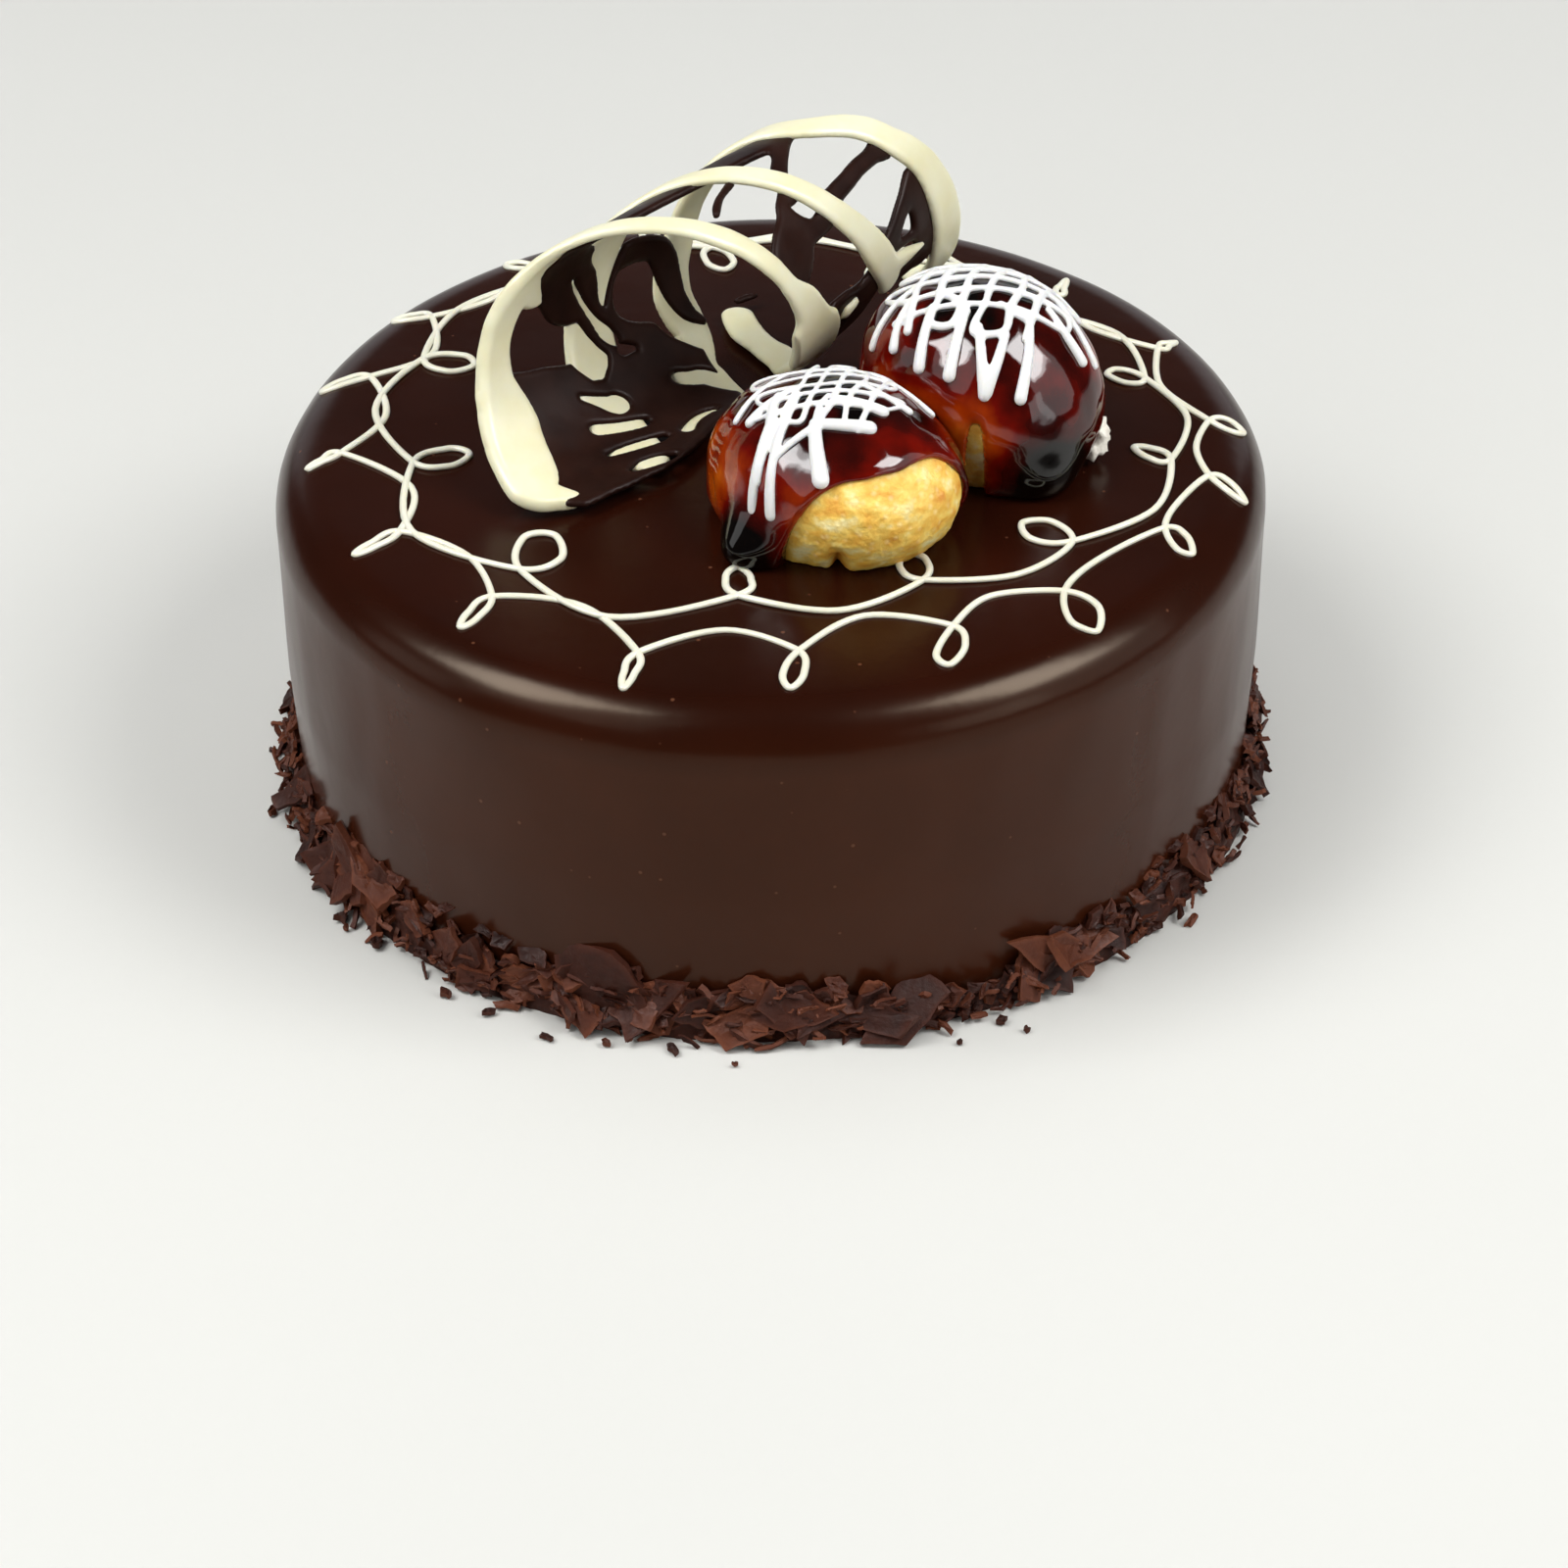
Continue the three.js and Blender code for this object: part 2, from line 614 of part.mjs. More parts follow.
const part = new THREE.Group();
part.add(
  meshOf('cake', cake(), FINISHES.ganache),
  meshOf('choux_front', choux(PUFFS.front), FINISHES.choux),
  meshOf('choux_back', choux(PUFFS.back).subtract(frontRoom), FINISHES.choux),
  meshOf('caramel_front', caramelCap(PUFFS.front, DRIPS.front), FINISHES.caramel),
  meshOf('caramel_back', caramelCap(PUFFS.back, DRIPS.back).subtract(frontRoom), FINISHES.caramel),
  meshOf('lattice_curl', latticeCurl(), FINISHES.chocolate),
);

export default part;
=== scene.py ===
# Looks of the profiterole cake: glaze, flakes, piping, choux, caramel, icing and rolled lattice.
# Sizes are in millimetres and angles in degrees until a mesh is made, which is in metres.

import math

import bmesh
import bpy
import numpy as np
from mathutils import Matrix, Vector, noise


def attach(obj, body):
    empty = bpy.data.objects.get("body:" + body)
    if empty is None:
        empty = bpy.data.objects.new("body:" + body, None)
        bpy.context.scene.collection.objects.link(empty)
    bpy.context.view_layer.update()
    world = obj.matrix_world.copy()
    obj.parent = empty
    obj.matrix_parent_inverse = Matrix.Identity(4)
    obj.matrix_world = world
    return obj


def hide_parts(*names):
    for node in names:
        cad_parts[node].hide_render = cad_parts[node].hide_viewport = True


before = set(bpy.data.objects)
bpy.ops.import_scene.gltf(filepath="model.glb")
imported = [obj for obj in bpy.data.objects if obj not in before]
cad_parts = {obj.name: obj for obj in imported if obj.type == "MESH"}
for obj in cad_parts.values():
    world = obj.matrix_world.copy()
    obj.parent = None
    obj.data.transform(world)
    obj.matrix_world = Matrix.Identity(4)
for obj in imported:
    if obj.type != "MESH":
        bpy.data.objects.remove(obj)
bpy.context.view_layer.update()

MM = 0.001

# Round ends of beads, and the nearest that a cut comes to a corner of its triangle
DOME_ANGLES = (80, 55, 28)
LEAST_CUT = 0.05

# Camera, lights and floor, with lights and floor in metres
CAMERA_TARGET = (2.15, -60.9, 33.16)
CAMERA_DISTANCE = 718.8
CAMERA_RISE = 36.31
CAMERA_ROLL = -0.42
LENS = 94.5
SENSOR = 36
LIGHT_TARGET = (0, 0, 0.06)
FLOOR_HALF = 6.0

# Glazed body: waves of its outline as share, count and phase, and sags and narrower runs of the glaze
CAKE_RADIUS = 90.0
CAKE_HEIGHT = 66.3
EDGE_ROUND = 9.5
FOOT_RADIUS = 88.9
FULL_WIDTH_LEVEL = 0.42 * CAKE_HEIGHT
OUTLINE_WAVES = ((0.005, 2, 0.6), (0.003, 3, 2.0))
TOP = CAKE_HEIGHT + 0.3
BODY_SIDES = 300
HUB_RADIUS = 1.5
TOP_RINGS = 30
EDGE_RINGS = 22
EDGE_START = 4
SIDE_RINGS = 34
SIDE_START = 2.0
SAG_SIZE = 26
SAG_STRETCH = (1, 1, 0.55)
RUN_SIZE = 11
RUN_STRETCH = (1, 1, 0.35)
SIDE_SAG = 0.36
SIDE_RUN = 0.18
TOP_SAG = 0.10
TOP_RUN = 0.03
SAGGING_RADII = (60, 85)
DRAWN_LEVELS = (CAKE_HEIGHT - 2, CAKE_HEIGHT - 2 - EDGE_ROUND)

# Flake collar: waves of its height as size, count and phase, and places where large flakes gather
# as bearing, scatter and share
COLLAR_DEPTH = 2.6
COLLAR_FADE = 16.0
COLLAR_REACH = 96.5
COLLAR_HEIGHT = 12
COLLAR_WAVES = ((3, 3, 3 * 2.36 + math.pi / 2), (1.6, 7, 0), (1.2, 13, 2))
COARSE_PLACES = (
    (-146, 5, 0.16), (-112, 8, 0.30), (-92, 4, 0.08), (-77, 4, 0.08), (-56, 5, 0.08),
    (30, 30, 0.15), (130, 30, 0.15),
)
COARSE_BLUR = 1.5
LEAST_HOLD = 0.15
FLOOR_GAP = 0.05

# Flakes: chances of their sizes, the shape of a shard, and a row of sizes for each kind
FLAKE_SEED = 2063
SIZE_CHANCE = 0.25
COARSE_CHANCE = (0.3, 1)
WIDTH_CHANCE = (0.8, 1.2)
THICKNESS_CHANCE = 0.5
SHARD_CORNERS = (4, 6)
SHARD_SPREAD = 0.25
SHARD_REACH = (0.48, 0.64)
SHARD_RINGS = (0.45, 0.8, 1.0)
SHARD_CREASE = 32
OUTLINE_LIGHTER = 0.3
ANY_TURN = (0, 6.3)
FLAKES = {
    "plates": {
        "count": 70, "gathered": 0.7, "proud": (0.3, 2.6),
        "length": (6, 23), "width": (4, 10), "thick": (0.8, 1.4), "bend": (0.01, 0.07),
        "jag": 0.035, "rough": 0.05, "steps": 4,
        "level": (0.2, 0.62), "lean": (0.0, 0.9), "twist": 0.6, "turn": 1.1,
    },
    "chips": {
        "count": 420, "gathered": 0.0, "proud": (-0.5, 1.4),
        "length": (3.0, 8.0), "width": (2.0, 5.5), "thick": (0.5, 1.1), "bend": (0.02, 0.12),
        "jag": 0.07, "rough": 0.06, "steps": 3,
        "level": (0.05, 0.95), "lean": (-0.3, 1.4), "twist": 1.1, "turn": 0.8,
    },
    "splinters": {
        "count": 680, "gathered": 0.0, "proud": (0.0, 3.4),
        "length": (2.5, 8.0), "width": (0.6, 1.8), "thick": (0.35, 0.8), "bend": (0.03, 0.3),
        "jag": 0.12, "rough": 0.06, "steps": 2,
        "level": (0.03, 0.8), "lean": (-1.2, 1.2), "twist": 1.2, "turn": 0.7,
    },
}
CRUMBS = {
    "count": 14, "bearing": (245, 30), "radius": (95.5, 99.5), "lean": (-0.3, 0.3),
    "length": (1.0, 3.4), "width": (0.4, 0.9), "thick": (0.5, 1.2), "bend": 0.05,
    "jag": 0.2, "rough": 0.15, "steps": 2,
}

# Bed of fine crumbs under the flakes
BED_SIDES = 720
BED_ROWS = 12
BED_RISE = 0.5
BED_START = 0.4
BED_DEPTH = COLLAR_DEPTH - 0.2
BED_ROUGH = 0.9
BED_GRAIN = 2.6
BED_TUCK = -1.6
BED_CALM = (0.1, 0.9)
BED_TONE = 0.25
BED_TONE_SIZE = 3

# Piped scrolls, one row a loop: neck angle, neck radius, turn from neck to tip, tip radius,
# half width, and radius of the line half way to the next loop
PIPE_RADIUS = 0.65
PIPE_FLAT = 0.8
PIPE_UNEVEN = 0.10
PIPE_GRAIN = 14
PIPE_WAVE = 0.075
PIPE_WAVE_STEP = 0.35
OUTER_LIFT = 0.2
INNER_LIFT = 0.4
LOOP_WIDEST = 0.62
LOOP_CROSSING = 0.15
LOOP_STEPS = 9
OUTER_LOOPS = (
    (-177, 77.6, 3, 83.7, 0.4, 66),
    (-155, 71.7, 2.5, 81.7, 0.8, 65.2),
    (-133, 69.9, 2, 80.2, 1.2, 63.2),
    (-108, 72, 0.7, 82.5, 0.9, 62.5),
    (-86, 68.3, -1.6, 79.4, 1.8, 60.2),
    (-63, 68.3, -4.6, 78.8, 2.8, 64.5),
    (-45, 71.4, -3.3, 83.4, 3.4, 70.5),
    (-24, 75.9, -3.8, 83.2, 2.4, 76),
    (-10, 79.8, -3, 86.9, 1.5, 77.3),
    (3.5, 80.3, -1.2, 86.6, 2, 74.5),
    (23, 79.2, 0.8, 83.6, 0.5, 72),
    (43, 75.4, 1.9, 80.9, 0.5, 72),
    (65, 77, 0, 84, 1.5, 73),
    (86, 77.5, 0, 84.5, 1.5, 73.5),
    (107, 78, 0, 84, 1.5, 73.5),
    (126, 78, 1.7, 83.3, 1.6, 74),
    (145, 78.3, 2.8, 84.6, 1.4, 70.5),
    (163, 77.6, 3.6, 85.5, 1.2, 71),
)
INNER_LOOPS = (
    (-173, 64.9, -1.6, 54.5, 3, 70),
    (-135, 61.4, -4.3, 49.7, 4.8, 64.3),
    (-96, 52.2, -1.3, 43.3, 2.2, 57.8),
    (-61, 54.4, 2.5, 45.6, 2.6, 62.5),
    (-34, 63.9, 0.5, 53.3, 3.4, 72.5),
    (-7, 72.8, 3, 66, 1.7, 76.6),
    (16, 72.6, 2.6, 66.3, 2.6, 75),
    (42, 68, 2, 60, 2.2, 73),
    (70, 70, 1, 61, 2.2, 74),
    (99, 71.9, -1.2, 62.6, 2.6, 76),
    (127, 73, 0, 64, 2.6, 76),
    (156, 71.1, -1.4, 61.2, 3.2, 73.3),
)

# Choux puffs: place, half sizes along and across, height, the bare side of the caramel as bearing,
# half width and upper edge, the bearing where it is thin, the icing's seed and the mesh's divisions
PUFF_TURN = math.radians(-45)
HEART_SHARE = 0.51
LUMP_SIZE = 0.018
LUMP_WAVES = {"x": 4, "y": 3.6, "z": 5, "slant": 2}
CARAMEL = 1.5
PUFFS = {
    "front": {"at": (11.5, -26), "along": 23.3, "across": 19.5, "high": 24, "lump": 0.4,
              "bare": (-62, 60, 28.5), "thin": -165, "seed": 31, "divisions": 7},
    "back": {"at": (38, 0), "along": 22.3, "across": 18.8, "high": 30.6, "lump": 2.1,
             "bare": (-95, 5.5, 12), "thin": -128, "seed": 77, "divisions": 6},
}
DRAW_BACK = 0.98
DRAW_PASSES = 60

# Choux skin: wrinkles, pores, the tear low on the bare side, and its browning, with painted shade in the
# tear
WRINKLE = 0.4
WRINKLE_SIZE = 5.5
WRINKLE_STRETCH = (1, 1, 0.6)
PORE = 0.16
PORE_SIZE = 1.7
SKIN_INSET = 0.15
SKIN_CLEARANCE = 0.6
TEAR_ASIDE = -27
TEAR_WIDTH = 4
TEAR_RISES = (-4, -18)
TEAR_DEPTH = 2.8
BROWNER_LEVELS = (TOP + 6, TOP - 2)
BROWNER_BEARINGS = (0, 30)
# Browning: base, raised wrinkles, painted shade in the tear's groove, darker towards the bottom right,
# and the torn lump paler
TOAST_AND_SHADE = {"all": 0.3, "wrinkle": 0.4, "tear": 0.5, "low": 0.45, "torn": -0.5}
TORN_LUMP = (-20, 21.4, 4.4)
TORN_HALF_SIZES = (2.8, 2.8, 3.6)
TORN_RAGGED = 0.55
TORN_GRAIN = 2
TORN_SINK = 0.1
TORN_DIVISIONS = 4

# Caramel coat: its edge over the bare side, its relief, and its feet on the cake as bearing,
# width, depth and height
BARE_FOOT = -32
BARE_ARCH = 4.5
BARE_FALL = 160
EDGE_WAVE = 1.6
EDGE_WAVE_SIZE = 9
EDGE_SLOPE = 0.75
COAT_LUMP = 0.35
COAT_LUMP_SIZE = 8
COAT_ROUND = 2
COAT_MIDDLE = 0.2
COAT_CLEARANCE = 0.25
COAT_SINK = 0.6
COAT_FOOT = CAKE_HEIGHT - 0.05
UNDER_ROUND = 1
UNDER_DEPTH = 0.5
FEET = {
    "front": ((-137, 17, 6, 6.2), (165, 18, 1.3, 3), (80, 24, 0.9, 3)),
    "back": ((-61, 21, 4.8, 6.8), (20, 18, 1, 3), (120, 30, 0.9, 3)),
}
FOOT_BELLY = 1.6
FOOT_UNDERCUT = 0.4
POOL_SQUEEZE = 0.8
POOL_CALM = 2

# Shade of the caramel, and what the crown, lumps, feet, border and thin side add to it
SHADE = {"all": 0.6, "crown": 0.35, "lumps": -0.25, "feet": 0.28, "border": -0.2, "thin": -0.56}
CROWN_RISES = (30, 65)
BORDER_WIDTH = 1.2
THIN_RISES = (35, 10)
THIN_COSINES = (0.375, 1)

# Icing on the caramel, on a map of angles from the puff's top: lines drizzled to and fro as turn,
# count, spacing, shift, half length and radius, and drips as both ends on the map and radius
ICING_LIFT = 0.05
ICING_FLAT = 0.85
ICING_WANDER = 1.5
DRIZZLE_REACH = 60
DRIZZLE_LEAST = 0.25
DRIZZLE_CHANCE = (0.85, 1.1)
DRIZZLE_STATIONS = 5
DRIZZLE_STEPS = 7
DRIZZLE_FULL = 1.05
DRIZZLE_UNEVEN = 0.28
DRIZZLE_GRAIN = 6
DRIP_STEPS = 9
DRIP_START = 0.7
ICING_VOXEL = 0.28
ICING_PASSES = 4
DRIZZLES = {
    "front": ((2, 5, 11, (-4, 10), 40, 0.5), (73, 5, 11, (2, 6), 36, 0.55)),
    "back": ((-8, 5, 11.5, (2, 7), 46, 0.66), (72, 6, 12, (0, 2), 36, 0.74)),
}
DRIPS = {
    "front": (
        (-36, -18, -58, -60, 1.1), (-28, -22, -45, -69, 1.1), (-31, -20, -48, -50, 0.6),
        (-12, -28, -9, -60, 1.6), (-12, -28, 19, -30, 1.4), (-38, -45, -12, -30, 0.8),
        (2, -8, 27, -15, 1.2), (14, 11, 42, -7, 0.8), (26, 36, 58, 10, 0.7),
        (-24, 6, -48, -12, 1), (-28, 30, -56, -3, 0.7), (-32, 2, -36, -20, 1.2),
        (-20, 0, -28, -24, 0.6), (-4, -4, -12, -28, 0.7),
    ),
    "back": (
        (-34, 8, -63, -8, 0.9), (-34, 0, -50, -23, 1.05), (-25, -12, -37, -42, 1.2),
        (-9, -20, -20, -52, 1.25), (-3, -30, -1, -63, 1.2), (10, -34, 0, -62, 1.2),
        (22, -24, 19, -63, 1.2), (32, -12, 54, -30, 1.05), (34, 4, 64, -23, 0.9),
        (-20, -4, -9, -20, 1), (8, -16, 22, -24, 0.9),
    ),
}

# Rolled lattice: a strip wound on a slanting tube, placed by a strip share and a roll angle
CURL_TURN = math.radians(66.8)
CURL_FOOT = (-35, -31)
CURL_LIFT = 1.7
CURL_HALF_WIDTH = 21
CURL_HALF_HEIGHT = 19.7
CURL_GROWTH = 0.108
CURL_TAPER = 3.3
CURL_SHIFT = 12.3
CURL_ADVANCE = 70
CURL_ADVANCE_LOSS = 8.9
CURL_FLOOR = CAKE_HEIGHT + 0.05
STRIP_WIDTH = 52
ROLL_RADIUS = 22
GRID_SHARES = (-0.18, 1.16, 140)
GRID_ROLLS = (-22, 384, 310)
SHARE_STEP = 0.01
ROLL_STEP = 1

# Layers of the lattice: place across the strip, half thickness, width of the rounded border, how far
# crossing lines melt together and how much their edges wobble
WHITE_LAYER = {"middle": -0.45, "half": 0.95, "border": 1.6, "melt": 0.5, "wobble": 0.28}
DARK_LAYER = {"middle": 0.4, "half": 0.75, "border": 1.1, "melt": 0.7, "wobble": 0.35}
WOBBLE_SIZE = 8
STROKE_STEPS = 5
FLOOR_SLOPE = 0.9
FRONT_EXTRA = 0.9
FRONT_SHARES = (0.3, 0.2)
FRONT_ROLLS = (150, 120)

# Lines of the lattice, each through stations of share, roll angle and width
FRONT_HOOP = (
    (0.125, 8.5, 0.8), (0.085, 12, 4.2), (0.04, 18, 6.2), (-0.008, 24, 7.6), (0.02, 34, 10.7),
    (0.034, 52, 11.1), (0.038, 62, 11), (0.02, 71, 9.4), (0.002, 80, 7.6), (-0.014, 96, 6.8),
    (-0.022, 118, 7.2), (-0.025, 140, 6), (-0.03, 180, 5.2), (-0.028, 215, 5.2),
    (-0.036, 238, 4.2), (-0.045, 250, 4.6), (-0.03, 262, 7), (-0.035, 272, 8.8),
    (-0.03, 282, 10.6), (-0.02, 290, 10.4),
)
FRONT_TAIL = (
    (0.03, 284, 8.5), (0.075, 298, 5.6), (0.045, 312, 4.6), (0, 322, 4.6), (0.035, 330, 5.4),
    (0.058, 338, 5.8), (0.063, 346, 5.4), (0.08, 356, 5.2), (0.12, 364, 4.8), (0.165, 370, 4.4),
)
MIDDLE_HOOP = (
    (0.45, 1, 5), (0.45, 15, 10), (0.47, 50, 10.5), (0.48, 70, 11.1), (0.46, 90, 9.4),
    (0.45, 118, 10.5), (0.45, 142, 7.2), (0.445, 160, 6), (0.44, 200, 5.4), (0.44, 230, 5.6),
    (0.455, 248, 6.2), (0.475, 262, 7), (0.515, 283, 6),
)
FAR_HOOP = (
    (0.975, 6, 2), (0.955, 14, 4.4), (0.905, 26, 9.5), (0.9, 36, 9.5), (0.962, 48, 7),
    (0.945, 58, 8.6), (0.915, 70, 8.6), (0.912, 84, 8), (0.93, 100, 7.5), (0.93, 150, 7.4),
    (0.895, 180, 7), (0.965, 200, 6.8), (0.98, 220, 6.8), (0.995, 240, 7.2), (0.95, 285, 8.6),
    (0.98, 328, 6),
)
WHITE_DRIPS = (
    ((0.02, 121, 6.5), (0.1, 111, 5), (0.172, 105, 0.8)),
    ((-0.11, 276, 6), (-0.15, 290, 4.2), (-0.165, 297, 2.2)),
    ((0.66, 5, 3.8), (0.74, 7.5, 3.2), (0.84, 5.5, 2.4)),
    ((0.54, 276, 4.6), (0.66, 276, 3.2), (0.77, 276.5, 0.8)),
    ((0.2, 283, 2.4), (0.265, 280.5, 1.6)),
)
WHITE_LINES = (FRONT_HOOP, FRONT_TAIL, MIDDLE_HOOP, FAR_HOOP, *WHITE_DRIPS)
TRUNK = ((0, 249, 6), (0.09, 239.5, 9), (0.19, 231.5, 7.8))
DARK_STRANDS = (
    ((0.06, 131, 6), (0.16, 118, 9.5), (0.26, 107, 11), (0.32, 99, 10.5), (0.42, 90, 6.5),
     (0.49, 77, 4.6), (0.55, 66, 3.6), (0.6, 61, 4)),
    ((0.22, 124, 8), (0.34, 114, 8), (0.42, 104, 6.4), (0.48, 92, 4.6), (0.53, 80, 3.2)),
    ((0.565, 76, 3.4), (0.56, 88, 1.4), (0.565, 100, 2), (0.6, 105.5, 5.6), (0.68, 104, 5.6),
     (0.76, 100.5, 5.8), (0.83, 93, 6.8), (0.883, 80, 5.8), (0.912, 70, 4.8), (0.955, 60, 3.8),
     (1.01, 53, 2.2)),
    ((0.1, 148, 13), (0.45, 157, 12), (0.8, 171, 7.5), (0.92, 174, 6)),
    ((0.13, 199, 1), (0.2, 194.5, 1.3), (0.28, 190.5, 1.5), (0.38, 187, 2)),
    (*TRUNK, (0.3, 217, 3.2), (0.34, 214, 3), (0.4, 212, 4.4)),
    (*TRUNK, (0.3, 234, 4.4), (0.4, 232, 4.6)),
    ((0.5, 200, 3.2), (0.66, 189, 3.2), (0.8, 179, 4.2)),
    ((0.5, 226, 4.6), (0.62, 223.5, 4), (0.74, 221, 3.8), (0.85, 219.5, 4.2), (0.92, 219, 6)),
    ((0.54, 268, 5), (0.72, 254, 3.8), (0.9, 243, 5.5)),
    ((0.86, 250, 5.4), (0.82, 264, 5.6), (0.8, 285, 6.4)),
    ((0.6, 269, 1.8), (0.74, 270, 1.8), (0.82, 273, 3)),
    ((0.55, 288, 4.6), (0.74, 286, 4.2), (0.95, 285.5, 3.4)),
    ((0.49, 274, 5.4), (0.32, 290, 8.4), (0.12, 314, 7.4)),
    ((0.13, 280, 5), (0.22, 281, 6), (0.33, 279, 4), (0.42, 277, 4)),
    ((0.22, 375, 1.2), (0.27, 374, 1.6), (0.31, 372, 0.8)),
)
FLOOR_NEAR_EDGE = ((0.05, 9), (0.1, 2), (0.45, -9), (0.6, -9), (0.97, -2))
FLOOR_FAR_EDGE = (
    (0.05, 79), (0.36, 67.5), (0.44, 55.5), (0.49, 53), (0.53, 57.5), (0.57, 80), (0.6, 77),
    (0.66, 72), (0.79, 64), (0.84, 55), (0.9, 47.5), (0.96, 40),
)
FLOOR_SHARES = (0.05, 0.965)

# Slits in the dark layer that show the white one, as lines too
FLOOR_SLITS = (
    ((0.36, 3, 1.2), (0.42, 1, 3.2), (0.48, -2.5, 3.4), (0.52, -5, 1.8)),
    ((0.335, 19, 0.8), (0.43, 15.5, 1.8), (0.53, 11, 2), (0.575, 9.4, 1.4)),
    ((0.365, 33.5, 2.6), (0.45, 28.5, 2.4), (0.53, 24.5, 2.2), (0.56, 23.4, 1.6)),
    ((0.37, 50.5, 0.9), (0.43, 45, 2.2), (0.485, 39.5, 4), (0.5, 39, 4.2)),
    ((0.315, 108.5, 0.5), (0.36, 101, 0.8), (0.43, 90, 0.9), (0.49, 80.5, 1.4),
     (0.545, 72, 2.8), (0.58, 67, 2.2)),
    ((0.53, 86, 0.6), (0.522, 90, 1.7), (0.51, 100, 3.6), (0.487, 110, 6.2),
     (0.455, 120, 10), (0.44, 128, 10.5)),
    ((0.615, 60.5, 2.4), (0.665, 58.5, 1.2)),
    ((0.67, 5, 2.2), (0.72, 7.5, 1.6), (0.78, 7.3, 1.3), (0.825, 5, 0.7)),
    ((0.805, 33, 3.2), (0.85, 29.5, 3.6), (0.9, 26, 4.2), (0.945, 18, 4), (0.975, 8, 1.6)),
)


# Numbers

def unit(vectors):
    return vectors / np.maximum(np.linalg.norm(vectors, axis=-1, keepdims=True), 1e-9)


def fade(values, none, full):
    """Straight rise from 0 at one value to 1 at another, which may be the lower one."""
    return np.clip((values - none) / (full - none), 0, 1)


def spread(values, share):
    return values[0] + (values[1] - values[0]) * share


def waves(angle, rows):
    return sum(size * np.sin(count * angle + phase) for size, count, phase in rows)


def wrapped(degrees):
    return (degrees + 180) % 360 - 180


def polar(angle, radius):
    turn = math.radians(angle)
    return np.array([radius * math.cos(turn), radius * math.sin(turn)])


def grain(points, size, octaves=3, shift=0, basis="PERLIN_NEW"):
    """Noise about -1 to 1 at each point, with lumps of one size."""
    spots = (np.asarray(points) + shift) / size
    return np.array([noise.fractal(Vector(p), 1.0, 2.0, octaves, noise_basis=basis) for p in spots])


def smooth_path(stations, steps, closed=False):
    """Catmull-Rom curve through rows of numbers."""
    rows = np.asarray(stations, dtype=float)
    if closed:
        rows = np.concatenate([rows[-1:], rows, rows[:2]])
    else:
        rows = np.concatenate([[2 * rows[0] - rows[1]], rows, [2 * rows[-1] - rows[-2]]])
    t = np.linspace(0, 1, steps, endpoint=False)[:, None]
    curve = []
    for a, b, c, d in zip(rows, rows[1:], rows[2:], rows[3:]):
        curve.append(0.5 * (2 * b + (c - a) * t + (2 * a - 5 * b + 4 * c - d) * t ** 2
                            + (3 * b - a - 3 * c + d) * t ** 3))
    if not closed:
        curve.append(rows[-2:-1])
    return np.concatenate(curve)


# Meshes

def show(thing):
    bpy.context.scene.collection.objects.link(thing)


def add_piece(name, points, faces, material, replaced, sharp=None, attributes=None):
    """New mesh piece in the frame, riding on the cake."""
    mesh = bpy.data.meshes.new(name)
    mesh.from_pydata((np.asarray(points) * MM).tolist(), [], faces)
    mesh.validate()
    mesh.polygons.foreach_set("use_smooth", [True] * len(mesh.polygons))
    if sharp is not None:
        mesh.set_sharp_from_angle(angle=math.radians(sharp))
    for label, values in (attributes or {}).items():
        layer = mesh.attributes.new(label, "FLOAT", "POINT")
        layer.data.foreach_set("value", np.asarray(values, dtype=np.float32))
    mesh.materials.append(material)
    piece = bpy.data.objects.new(name, mesh)
    show(piece)
    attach(piece, "root")
    if replaced:
        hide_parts(*replaced)
    return piece


def gather(parts):
    """Points and faces of several meshes as one."""
    points = []
    faces = []
    start = 0
    for part_points, part_faces in parts:
        points.append(np.asarray(part_points))
        faces.extend([tuple(int(i) + start for i in face) for face in part_faces])
        start += len(part_points)
    return np.concatenate(points), faces


def ring_points(radius, angles, height):
    """Points of rings, from rows of radii and heights with a column for each angle."""
    return np.stack([radius * np.cos(angles), radius * np.sin(angles), height], -1).reshape(-1, 3)


def ring_faces(rows, sides, closed=False):
    """Faces between rings of points, and from the last ring to the first where they are closed."""
    faces = []
    for row in range(rows if closed else rows - 1):
        here = row * sides
        there = (row + 1) % rows * sides
        for i in range(sides):
            j = (i + 1) % sides
            faces.append((here + i, here + j, there + j, there + i))
    return faces


def tube(points, normals, radii, flat=1.0, sides=10, closed=False):
    """Bead along a row of points, with round ends where it is open."""
    points = np.asarray(points, dtype=float)
    normals = unit(np.asarray(normals, dtype=float))
    radii = np.broadcast_to(np.asarray(radii, dtype=float), len(points))
    if closed:
        runs = unit(np.roll(points, -1, 0) - np.roll(points, 1, 0))
    else:
        runs = unit(np.gradient(points, axis=0))
        dome = np.radians(DOME_ANGLES)
        first = [points[0] - runs[0] * radii[0] * math.sin(a) for a in dome]
        last = [points[-1] + runs[-1] * radii[-1] * math.sin(a) for a in dome[::-1]]
        points = np.concatenate([first, points, last])
        runs = np.pad(runs, ((len(dome), len(dome)), (0, 0)), mode="edge")
        normals = np.pad(normals, ((len(dome), len(dome)), (0, 0)), mode="edge")
        radii = np.concatenate([radii[0] * np.cos(dome), radii, radii[-1] * np.cos(dome[::-1])])
    across = unit(np.cross(normals, runs))
    up = unit(np.cross(runs, across))
    turns = np.linspace(0, 2 * math.pi, sides, endpoint=False)[None, :, None]
    ring = across[:, None] * np.cos(turns) + flat * up[:, None] * np.sin(turns)
    corners = (points[:, None] + ring * radii[:, None, None]).reshape(-1, 3)
    faces = ring_faces(len(points), sides, closed)
    if not closed:
        faces.append(tuple(range(sides))[::-1])
        faces.append(tuple(range(len(corners) - sides, len(corners))))
    return corners, faces


